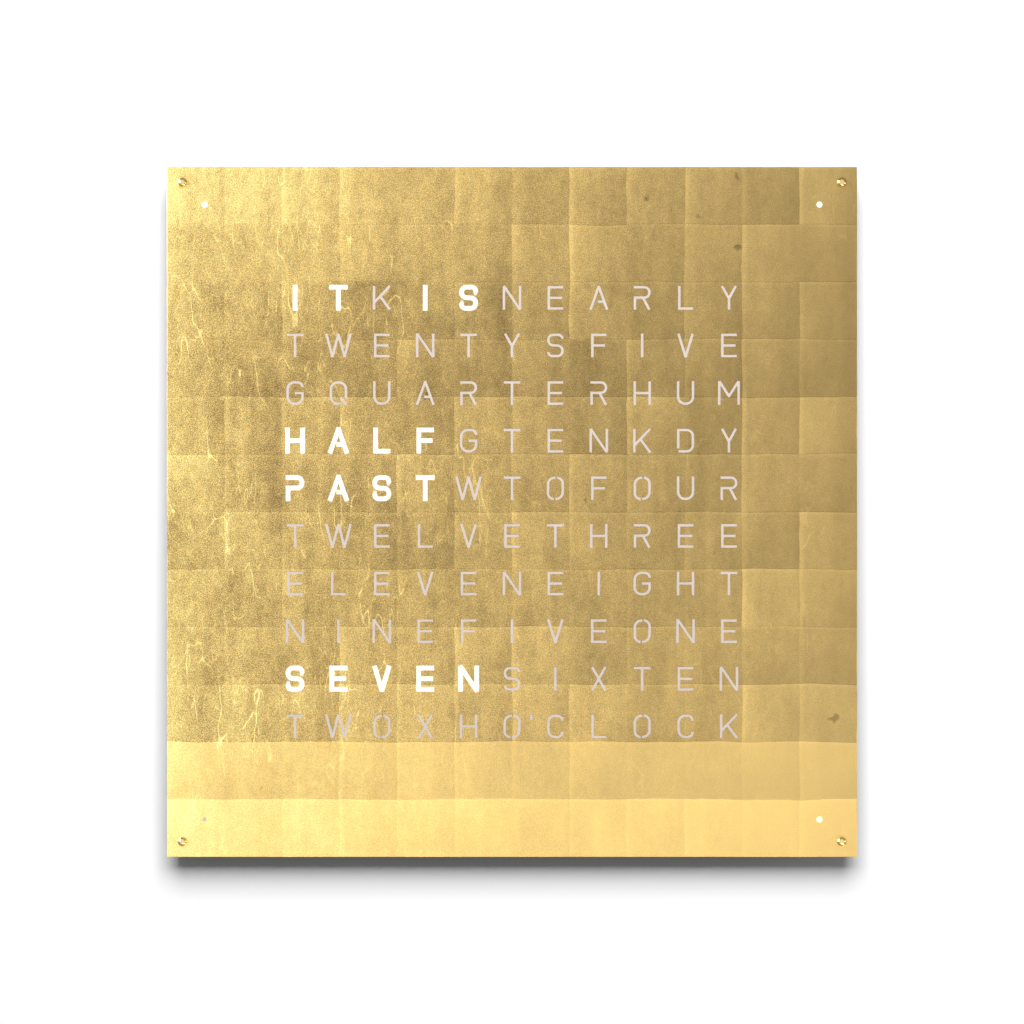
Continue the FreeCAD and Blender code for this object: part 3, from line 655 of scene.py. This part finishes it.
def divided(loop: np.ndarray, step: float = 1.2) -> np.ndarray:
    """Cut every side of a loop into equal runs of about a step.

    Args:
        loop: its corners.
        step: the longest run.

    Returns:
        The corners with the points between them.
    """
    after = np.roll(loop, -1, axis=0)
    counts = np.ceil(np.linalg.norm(after - loop, axis=1) / step).astype(int).clip(1)
    return np.concatenate([start + np.linspace(0, 1, count, endpoint=False)[:, None] * (end - start)
                           for start, end, count in zip(loop, after, counts)])


def circle(centre: Spot, radius: float, steps: int = 48) -> np.ndarray:
    """Points round a circle: the centre plus the radius times cosine and sine."""
    angles = np.arange(steps) * (2 * math.pi / steps)
    return np.array(centre) + radius * np.stack([np.cos(angles), np.sin(angles)], axis=1)


class Flat:
    """A flat pattern of triangles in the face's plane, gathered tile by tile, in metres."""

    def __init__(self) -> None:
        """Start empty."""
        self.points: List[np.ndarray] = []
        self.triangles: List[np.ndarray] = []
        self.glow: List[np.ndarray] = []
        self.count = 0

    def add(self, spots: np.ndarray, triangles: np.ndarray, glow: np.ndarray) -> None:
        """Add one tile of triangles with a glow at each point."""
        self.points.append(spots)
        self.triangles.append(triangles + self.count)
        self.glow.append(glow)
        self.count += len(spots)

    def joined(self) -> Tuple[np.ndarray, np.ndarray, np.ndarray]:
        """All tiles as one pattern, with points that coincide made one and unused ones dropped."""
        points = np.concatenate(self.points)
        triangles = np.concatenate(self.triangles)
        glow = np.concatenate(self.glow)
        used, triangles = np.unique(triangles, return_inverse=True)
        triangles = triangles.reshape(-1, 3)
        points, glow = points[used], glow[used]
        _, keep, same = np.unique(np.round(points / 1e-6), axis=0, return_index=True,
                                  return_inverse=True)
        triangles = same.reshape(-1)[triangles]
        whole = (triangles[:, 0] != triangles[:, 1]) & (triangles[:, 1] != triangles[:, 2])
        whole &= triangles[:, 0] != triangles[:, 2]
        return points[keep], triangles[whole], glow[keep]


def mesh_object(name: str, points: np.ndarray, faces: Sequence, material: bpy.types.Material,
                glow: Optional[np.ndarray] = None, smooth: bool = False) -> bpy.types.Object:
    """Put computed points and faces into the scene.

    Args:
        name: the piece's name.
        points: its points in metres.
        faces: its faces, by point.
        material: its finish.
        glow: a value for each point, kept as an attribute.
        smooth: whether its shading is smooth.

    Returns:
        The object, at the origin.
    """
    mesh = bpy.data.meshes.new(name)
    mesh.from_pydata(points.tolist(), [], [list(face) for face in faces])
    mesh.materials.append(material)
    if glow is not None:
        store = mesh.attributes.new("glow", "FLOAT", "POINT")
        store.data.foreach_set("value", glow.astype(np.float32))
    mesh.polygons.foreach_set("use_smooth", np.full(len(mesh.polygons), smooth))
    mesh.update()
    made = bpy.data.objects.new(name, mesh)
    bpy.context.scene.collection.objects.link(made)
    return made


def slab(name: str, flat: Flat, levels: Sequence[Tuple[float, float]], material: bpy.types.Material,
         rim: float) -> bpy.types.Object:
    """A closed plate: the pattern at the first and last level, with walls along its open edges.

    Every level holds the same points, and those on the outer rim are moved out to its half side.

    Args:
        name: the piece's name.
        flat: the pattern.
        levels: each level's y and the half side of its outer rim, from the front.
        material: the finish.
        rim: the half side of the pattern's own rim.

    Returns:
        The plate.
    """
    spots, triangles, glow = flat.joined()
    on_rim = np.abs(spots) > rim - 1e-6
    layers = []
    for depth, half in levels:
        moved = np.where(on_rim, np.sign(spots) * half, spots)
        layers.append(np.stack([moved[:, 0], np.full(len(spots), depth), moved[:, 1]], axis=1))
    count = len(spots)
    last = (len(levels) - 1) * count
    edges = np.concatenate([triangles[:, [0, 1]], triangles[:, [1, 2]], triangles[:, [2, 0]]])
    keys = np.sort(edges, axis=1) @ np.array([count, 1])
    _, where, uses = np.unique(keys, return_inverse=True, return_counts=True)
    border = edges[uses[where.reshape(-1)] == 1]
    walls = [np.stack([border[:, 1] + i * count, border[:, 0] + i * count,
                       border[:, 0] + (i + 1) * count, border[:, 1] + (i + 1) * count], axis=1)
             for i in range(len(levels) - 1)]
    faces = triangles.tolist() + (triangles[:, ::-1] + last).tolist()
    faces += np.concatenate(walls).tolist()
    values = np.concatenate([glow] + [np.zeros(count)] * (len(levels) - 1))
    return mesh_object(name, np.concatenate(layers), faces, material, glow=values)


@dataclass
class Face:
    """The gilded plate with its letter field, and the opal windows that fill the openings.

    The field's arrangement is this clock's own: the same words, with other fillers, that tell
    the time in steps of five minutes.
    """

    leaf: bpy.types.Material
    opals: Dict[Light, bpy.types.Material]
    lettering: Lettering = field(default_factory=Lettering)
    words: Tuple[str, ...] = (
        "ITKISNEARLY", "TWENTYSFIVE", "GQUARTERHUM", "HALFGTENKDY", "PASTWTOFOUR",
        "TWELVETHREE", "ELEVENEIGHT", "NINEFIVEONE", "SEVENSIXTEN", "TWOXHO'CLOCK")
    lit: Tuple[Tuple[int, int, int], ...] = ((0, 0, 2), (0, 3, 2), (3, 0, 4), (4, 0, 4), (8, 0, 5))
    column_pitch: float = 56.6
    row_pitch: float = 62.1
    edge_break: float = 0.4
    window_recess: float = 0.3
    glow_full: float = 0.7
    glow_end: float = 1.8
    dot_glow: float = 0.9
    mark_inset: float = 3.0
    bolt_inset: float = 20.0
    dot_inset: float = 49.0
    bolt_radius: float = 2.75
    dot_radius: float = 2.5
    dark_dot: Tuple[int, int] = (-1, -1)

    def __post_init__(self) -> None:
        """Read the plate's own box from the frame: its half side in millimetres, its faces' y in
        metres.
        """
        low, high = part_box("front_plate")
        self.half = high[0] / MM
        self.front = low[1]
        self.back = high[1]
        self.field_half = np.array([self.column_pitch * 11, self.row_pitch * 10]) / 2

    def is_lit(self, row: int, column: int) -> bool:
        """Whether the lamp behind a letter is on."""
        return any(row == r and start <= column < start + count for r, start, count in self.lit)

    def glow_at(self, distance: np.ndarray) -> np.ndarray:
        """Full light up to the first distance from an edge, fading to none at the second."""
        share = np.clip((self.glow_end - distance) / (self.glow_end - self.glow_full), 0, 1)
        return share * share * (3 - 2 * share)

    def cell_loops(self, text: str, lit: bool) -> Tuple[List[np.ndarray], List[np.ndarray]]:
        """The loops of one cell: the openings' own, and those that the glow follows."""
        openings, halos = [], []
        for order, character in enumerate(text):
            shift = np.array([order * (self.column_pitch / 2 - self.mark_inset), 0.0])
            for path, capped in self.lettering.paths(character):
                openings.append(self.lettering.outline(path, capped) + shift)
                if lit:
                    halos += [divided(self.lettering.outline(path, capped, spread))
                              for spread in (self.glow_full, self.glow_end)]
        return openings, halos

    def add_cell(self, text: str, lit: bool, centre: np.ndarray, plate: Flat, window: Flat) -> None:
        """Cut one cell into plate and window.

        Args:
            text: the letter, and the mark after it where it has one.
            lit: whether its lamp is on.
            centre: the cell's middle in millimetres.
            plate: gets what is left of the plate.
            window: gets the openings.
        """
        across, up = self.column_pitch / 2, self.row_pitch / 2
        border = np.array([(-across, -up), (across, -up), (across, up), (-across, up)])
        openings, halos = self.cell_loops(text, lit)
        spots, triangles = triangulate([border] + openings + halos)
        middles = spots[triangles].mean(axis=1)
        cut = np.any([inside(middles, loop) for loop in openings], axis=0)
        away = self.lettering.distance(text[0], spots)
        glow = self.glow_at(away) if lit else np.zeros(len(spots))
        placed = (spots + centre) * MM
        plate.add(placed, triangles[~cut], glow)
        window.add(placed, triangles[cut], np.zeros(len(spots)))

    def add_margin(self, plate: Flat, windows: Dict[Light, Flat]) -> None:
        """The border round the letter field, with its bolt holes and minute dots."""
        rim = self.half - self.edge_break
        outer = np.array([(-rim, -rim), (rim, -rim), (rim, rim), (-rim, rim)])
        wide, tall = self.field_half
        xs, zs = np.linspace(-wide, wide, 12), np.linspace(-tall, tall, 11)
        field_loop = np.concatenate([
            np.stack(np.broadcast_arrays(*side), axis=1) for side in
            ((xs[:-1], -tall), (wide, zs[:-1]), (xs[:0:-1], tall), (-wide, zs[:0:-1]))])
        corners = [(a, b) for a in (-1, 1) for b in (-1, 1)]
        bolt = self.half - self.bolt_inset
        bolts = [circle((a * bolt, b * bolt), self.bolt_radius) for a, b in corners]
        dot = self.half - self.dot_inset
        dots = {(a, b): circle((a * dot, b * dot), self.dot_radius) for a, b in corners}
        halos = [circle((a * dot, b * dot), self.dot_radius + spread) for a, b in corners
                 if (a, b) != self.dark_dot for spread in (self.dot_glow, self.glow_end)]
        spots, triangles = triangulate([outer, field_loop] + bolts + list(dots.values()) + halos)
        middles = spots[triangles].mean(axis=1)
        gone = np.any([inside(middles, loop) for loop in bolts + [field_loop]], axis=0)
        glow = np.zeros(len(spots))
        for (a, b), loop in dots.items():
            held = inside(middles, loop)
            state = Light.OFF if (a, b) == self.dark_dot else Light.ON
            windows[state].add(spots * MM, triangles[held], np.zeros(len(spots)))
            gone |= held
            if state is Light.ON:
                away = np.linalg.norm(spots - np.array([a, b]) * dot, axis=1) - self.dot_radius
                glow = np.maximum(glow, self.glow_at(away))
        plate.add(spots * MM, triangles[~gone], glow)

    def build(self) -> List[bpy.types.Object]:
        """Make the plate and its windows.

        Returns:
            The plate and the windows.
        """
        plate = Flat()
        windows = {state: Flat() for state in Light}
        for row, text in enumerate(self.words):
            # The mark after an O shares its cell, so the pair is one sign while the row is read.
            for column, letter in enumerate(text.replace("O'", "0")):
                letter = letter.replace("0", "O'")
                centre = np.array([(column - 5) * self.column_pitch, (4.5 - row) * self.row_pitch])
                lit = self.is_lit(row, column)
                self.add_cell(letter, lit, centre, plate, windows[Light.ON if lit else Light.OFF])
        self.add_margin(plate, windows)
        rim = (self.half - self.edge_break) * MM
        levels = [(self.front, rim), (self.front + self.edge_break * MM, self.half * MM),
                  (self.back, self.half * MM)]
        face = slab("gilded_face", plate, levels, self.leaf, rim)
        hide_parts("front_plate")
        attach(face, "root")
        made = [face]
        front = self.front + self.window_recess * MM
        for state, flat in windows.items():
            window = slab("windows_" + state.value, flat, [(front, 1.0), (self.back, 1.0)],
                          self.opals[state], 1.0)
            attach(window, "root")
            made.append(window)
        return made


def turned(section: np.ndarray, steps: int, lobed: Sequence[int] = ()) -> Tuple[np.ndarray, List]:
    """Turn a section about the y axis, so that each of its points goes round a full circle.

    A lobed ring's radius is multiplied by 1 + 0.14 cos(6 a) at the angle a.

    Args:
        section: radius and height from the foot to the head; the first and last lie on the axis.
        steps: how many points a ring has.
        lobed: the rings that get six lobes.

    Returns:
        The points, with the height along -Y, and the faces.
    """
    angles = np.arange(steps) * (2 * math.pi / steps)
    rings = section[1:-1]
    lobes = np.isin(np.arange(len(rings)), list(lobed))[:, None] * 0.14
    radius = rings[:, :1] * (1 + lobes * np.cos(6 * angles))
    ring = np.stack([radius * np.cos(angles), np.repeat(-rings[:, 1:2], steps, 1),
                     radius * np.sin(angles)], axis=2).reshape(-1, 3)
    points = np.concatenate([ring, [[0, -section[-1, 1], 0], [0, -section[0, 1], 0]]])
    i, j = np.meshgrid(np.arange(len(rings) - 1), np.arange(steps), indexing="ij")
    a, b = (i * steps + j).ravel(), (i * steps + (j + 1) % steps).ravel()
    ends = np.arange(steps)
    after = (ends + 1) % steps
    last = (len(rings) - 1) * steps
    crown = np.stack([last + ends, last + after, np.full(steps, len(ring))], axis=1)
    base = np.stack([after, ends, np.full(steps, len(ring) + 1)], axis=1)
    sides = np.stack([a, b, b + steps, a + steps], axis=1)
    return points, sides.tolist() + crown.tolist() + base.tolist()


def copies(name: str, points: np.ndarray, faces: List, places: np.ndarray,
           material: bpy.types.Material) -> bpy.types.Object:
    """One smooth piece made of the same shape at several places.

    Args:
        name: the piece's name.
        points, faces: the shape.
        places: where each copy stands.
        material: the finish.

    Returns:
        The piece.
    """
    all_points = (places[:, None, :] + points[None]).reshape(-1, 3)
    all_faces = [[corner + order * len(points) for corner in face]
                 for order in range(len(places)) for face in faces]
    return mesh_object(name, all_points, all_faces, material, smooth=True)


@dataclass
class Domes:
    """The polished caps over the corner bolts, turned from bar."""

    brass: bpy.types.Material
    steps: int = 64
    arc_steps: int = 20
    radius: float = 0.0065
    rim: float = 0.0008
    lip: float = 0.00015

    def section(self, radius: float, height: float) -> np.ndarray:
        """Radius and height from the foot to the crown: a short upright rim, a small lip, a dome.

        The dome is a circle through the rim's top and the crown with its centre on the axis.
        """
        rise = height - self.rim
        ball = (radius * radius + rise * rise) / (2 * rise)
        widest = math.asin(min(1.0, (radius - self.lip) / ball))
        angles = np.linspace(widest, 0, self.arc_steps)
        dome = np.stack([ball * np.sin(angles), height - ball + ball * np.cos(angles)], axis=1)
        foot = np.array([(0.0, 0.0), (radius - self.lip, 0.0), (radius, self.lip),
                         (radius, self.rim - self.lip)])
        return np.concatenate([foot, dome])

    def build(self) -> bpy.types.Object:
        """Turn one cap and stand it at the four corners."""
        low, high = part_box("corner_caps")
        place = high[0] - self.radius
        points, faces = turned(self.section(self.radius, high[1] - low[1]), self.steps)
        spots = np.array([(a * place, high[1], b * place) for a in (-1, 1) for b in (-1, 1)])
        made = copies("domed_caps", points, faces, spots, self.brass)
        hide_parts("corner_caps")
        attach(made, "root")
        return made


@dataclass
class BackCover:
    """The back panel with its hanger windows, and the countersunk screws that hold it."""

    coat: bpy.types.Material
    zinc: bpy.types.Material
    window_half: Tuple[float, float] = (11.0, 18.0)
    window_place: Tuple[float, float] = (200.0, 366.0)
    screw_line: float = 434.5
    screw_places: Tuple[float, ...] = (-280.0, 0.0, 280.0)
    head: float = 2.7
    shank: float = 1.25
    gap: float = 0.12
    sunk: float = 0.02
    thick: float = 1.5

    def spots(self) -> List[Spot]:
        """The middles of the twelve screws, in millimetres."""
        line = self.screw_line
        return [spot for a in self.screw_places
                for spot in ((a, -line), (a, line), (-line, a), (line, a))]

    def build(self) -> List[bpy.types.Object]:
        """Make the panel and its screws.

        Returns:
            The panel and the screws.
        """
        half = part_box("back_panel")[1][0] / MM
        outer = np.array([(-half, -half), (half, -half), (half, half), (-half, half)])
        across, up = self.window_half
        frame_loop = np.array([(-across, -up), (across, -up), (across, up), (-across, up)])
        windows = [frame_loop + np.array([side * self.window_place[0], self.window_place[1]])
                   for side in (-1, 1)]
        holes = windows + [circle(spot, self.head + self.gap, 32) for spot in self.spots()]
        spots, triangles = triangulate([outer] + holes)
        middles = spots[triangles].mean(axis=1)
        open_here = np.any([inside(middles, loop) for loop in holes], axis=0)
        pattern = Flat()
        pattern.add(spots * MM, triangles[~open_here], np.zeros(len(spots)))
        rim = half * MM
        panel = slab("back_cover", pattern, [(-self.thick * MM, rim), (0.0, rim)], self.coat, rim)
        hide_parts("back_panel")
        section = np.array([(0, 0), (self.shank, 0), (self.shank, 1.0), (self.head, 2.4),
                            (self.head, 2.5), (1.25, 2.5), (1.1, 1.7), (0, 1.6)]) * MM
        points, faces = turned(section, 48, (4, 5))
        points = points * np.array([-1, -1, 1])
        places = np.array([(x, -2.5 - self.sunk, z) for x, z in self.spots()]) * MM
        screws = copies("cover_screws", points, faces, places, self.zinc)
        screws.data.polygons.foreach_set("use_smooth", np.zeros(len(screws.data.polygons), bool))
        for piece in (panel, screws):
            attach(piece, "root")
        return [panel, screws]


@dataclass
class Housing:
    """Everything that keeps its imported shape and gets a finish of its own."""

    finishes: Dict[str, bpy.types.Material]

    def dress(self) -> List[str]:
        """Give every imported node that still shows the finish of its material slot.

        Returns:
            The names of the dressed nodes.
        """
        slots = {part["node"]: part["material_slot"] for part in frame["record"]["subparts"]}
        dressed = []
        for node, holder in frame["nodes"].items():
            finish = self.finishes.get(slots.get(node, ""))
            if finish is not None:
                holder.data.materials.clear()
                holder.data.materials.append(finish)
                dressed.append(node)
        return dressed


@dataclass
class Studio:
    """The wall, floor, lights and camera."""

    face_depth: float
    plate_share: float = 690 / 1024
    plate_side: float = 0.9
    distance: float = 6.0
    sensor: float = 36.0
    floor_level: float = -1.1
    ambient: float = 0.11
    gloss_levels: Tuple[Tuple[float, float], ...] = ((0.10, 0.24), (0.5, 0.62), (0.75, 1.0))

    def backdrop(self, name: str, corners: Sequence[Tuple[float, float, float]], colour: Colour,
                 lift: str, level: Colour) -> bpy.types.Object:
        """A plain pale plane with faint clouds, which can't be seen from behind.

        Args:
            name: its name.
            corners: its four corners.
            colour: its colour.
            lift: the shader that is added to keep it pale.
            level: that shader's colour.

        Returns:
            The plane, which neither lights nor shades the clock.
        """
        graph = Graph(name)
        cloud = graph.noise((0.6, 0.6, 0.6), 2, 1.0)
        shade = tuple(part * 0.985 for part in colour)
        graph.finish(Base_Color=graph.tint(cloud, colour, shade), Roughness=0.9,
                     Specular_IOR_Level=0.0)
        more = graph.node(lift, values={"Color": level})
        both = graph.node("ShaderNodeAddShader", values={0: graph.shader, 1: more})
        back = graph.wire("ShaderNodeNewGeometry", output="Backfacing")
        mixed = graph.node("ShaderNodeMixShader", values={
            0: back, 1: both, 2: graph.node("ShaderNodeBsdfTransparent")})
        graph.feed(graph.output.inputs["Surface"], mixed)
        made = mesh_object(name, np.array(corners), [(0, 1, 2, 3)], graph.material)
        made.visible_diffuse = False
        made.visible_glossy = False
        made.visible_shadow = False
        return made

    def lamp(self, name: str, place: Tuple[float, float, float], size: Tuple[float, float],
             power: float, glints: bool, lights: bool) -> None:
        """A rectangular soft light that points at the clock.

        Args:
            name: its name.
            place: where it stands.
            size: its width and height.
            power: its power in watts.
            glints: whether it shows in polished surfaces.
            lights: whether it lights matt ones.
        """
        light = bpy.data.lights.new(name, "AREA")
        light.shape = "RECTANGLE"
        light.size, light.size_y = size
        light.energy = power
        holder = bpy.data.objects.new(name, light)
        holder.location = place
        holder.rotation_euler = (-Vector(place)).to_track_quat("-Z", "Y").to_euler()
        holder.visible_glossy = glints
        holder.visible_diffuse = lights
        bpy.context.scene.collection.objects.link(holder)

    def sky(self) -> None:
        """Even light: dim for matt surfaces, white for the camera, and for gloss a darker band.

        Gloss sees white before and behind the clock and the darker band beside, above and below.
        """
        world = bpy.data.worlds.new("studio")
        tree = Tree(world)
        heading = tree.node("ShaderNodeSeparateXYZ", values={
            0: tree.wire("ShaderNodeTexCoord", output="Generated")})
        stops = tuple((place, (grey, grey, grey)) for place, grey in self.gloss_levels)
        depth = Wire(tree, heading.outputs[1]).size()
        level = tree.wire("ShaderNodeValToRGB", {"stops": stops}, {0: depth})
        seen = tree.wire("ShaderNodeLightPath", output="Is Camera Ray")
        glossy = tree.wire("ShaderNodeLightPath", output="Is Glossy Ray")
        white = (1.0, 1.0, 1.0)
        mixed = tree.node("ShaderNodeMixShader", values={
            0: seen.maths("MAXIMUM", seen, glossy),
            1: tree.node("ShaderNodeBackground", values={"Color": white, "Strength": self.ambient}),
            2: tree.node("ShaderNodeBackground", values={"Color": tree.tint(seen, level, white)})})
        tree.node("ShaderNodeOutputWorld", values={"Surface": mixed})
        bpy.context.scene.world = world

    def camera(self) -> None:
        """A long lens square on to the face, so that the plate fills its share of the frame."""
        lens = bpy.data.cameras.new("camera")
        lens.sensor_width = self.sensor
        lens.lens = self.sensor * self.distance * self.plate_share / self.plate_side
        lens.clip_end = 100.0
        holder = bpy.data.objects.new("camera", lens)
        holder.location = (0.0, self.face_depth - self.distance, 0.0)
        holder.rotation_euler = (math.pi / 2, 0.0, 0.0)
        bpy.context.scene.collection.objects.link(holder)
        bpy.context.scene.camera = holder

    def build(self) -> None:
        """Set up everything round the clock."""
        bpy.context.scene.view_settings.view_transform = "Standard"
        bpy.context.scene.cycles.caustics_reflective = False
        wall, reach, floor = 0.0006, 6.0, self.floor_level
        self.backdrop("wall", [(-reach, wall, floor), (reach, wall, floor), (reach, wall, reach),
                               (-reach, wall, reach)],
                      (0.98, 0.98, 0.98), "ShaderNodeBsdfDiffuse", (0.46, 0.46, 0.46))
        self.backdrop("floor", [(-reach, -reach, floor), (reach, -reach, floor),
                                (reach, reach, floor), (-reach, reach, floor)],
                      (0.5, 0.5, 0.497), "ShaderNodeEmission", (0.5, 0.5, 0.5))
        for lamp in (
                ("key", (0.0, -3.9, 3.1), (4.4, 4.0), 284.0, False, True),
                ("left_window", (-2.5, -0.7, 1.0), (1.9, 1.9), 130.0, True, False),
                ("right_fill", (2.9, -0.5, -0.2), (0.9, 0.9), 9.0, True, True),
                ("low_strip", (0.9, -1.3, -1.9), (2.4, 0.5), 20.0, True, False),
                ("rear_key", (1.4, 2.8, 1.9), (1.8, 1.8), 105.0, False, True)):
            self.lamp(*lamp)
        self.sky()
        self.camera()


def finishes() -> Dict[str, bpy.types.Material]:
    """Every finish but the leaf, by material slot."""
    made = {slot: Metal(name, paint(*colour), paint(*shade), roughness).build()
            for slot, name, colour, shade, roughness in (
                ("plain_brass", "plain_brass", (205, 175, 108), (182, 150, 88), 0.34),
                ("zinc_steel", "zinc_steel", (190, 192, 196), (165, 168, 172), 0.32))}
    for slot, name, colour, shade, *rest in (
            ("rail_paint", "champagne_rail", (176, 148, 98), (164, 137, 90), 0.38, 900.0,
             0.00003, 0.85),
            ("back_paint", "black_powder", (46, 46, 48), (40, 40, 42), 0.62, 1300.0, 0.00012),
            ("moulded_nylon", "black_nylon", (38, 38, 40), (32, 32, 34), 0.55),
            ("grid_plastic", "white_grid", (240, 240, 236), (230, 230, 226), 0.5),
            ("cup_plastic", "white_cup", (242, 242, 240), (234, 234, 232), 0.42),
            ("circuit_board", "white_mask", (232, 234, 230), (222, 225, 220), 0.36),
            ("black_plastic", "black_socket", (26, 26, 28), (22, 22, 24), 0.42),
            ("button_plastic", "button_black", (36, 36, 38), (30, 30, 32), 0.34),
            ("cable_jacket", "lead_jacket", (60, 60, 62), (52, 52, 54), 0.6)):
        made[slot] = Coat(name, paint(*colour), paint(*shade), *rest).build()
    made["opal_sheet"] = Opal("opal_sheet_off", (0.82, 0.80, 0.78)).build()
    made["clear_acrylic"] = Opal("clear_rod", (0.86, 0.89, 0.92)).build()
    return made


def main() -> None:
    """Build every piece in order and report it."""
    logging.basicConfig(level=logging.INFO, format="%(message)s")
    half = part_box("front_plate")[1][0]
    leaf = GoldLeaf(half).build()
    opals = {Light.OFF: Opal("window_off", paint(246, 231, 221)).build(),
             Light.ON: Opal("window_on", (1.0, 1.0, 1.0), Light.ON, 1.2).build()}
    coats = finishes()
    housing = Housing(coats)
    for node in housing.dress():
        LOG.info("dressed %s", node)
    for piece in Face(leaf, opals).build():
        LOG.info("%s: %d faces", piece.name, len(piece.data.polygons))
    brass = Metal("polished_brass", paint(246, 222, 150), paint(236, 206, 130), 0.10).build()
    domes = Domes(brass).build()
    LOG.info("%s: %d faces", domes.name, len(domes.data.polygons))
    for piece in BackCover(coats["back_paint"], coats["zinc_steel"]).build():
        LOG.info("%s: %d faces", piece.name, len(piece.data.polygons))
    Studio(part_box("front_plate")[0][1]).build()


if __name__ == "__main__":
    main()
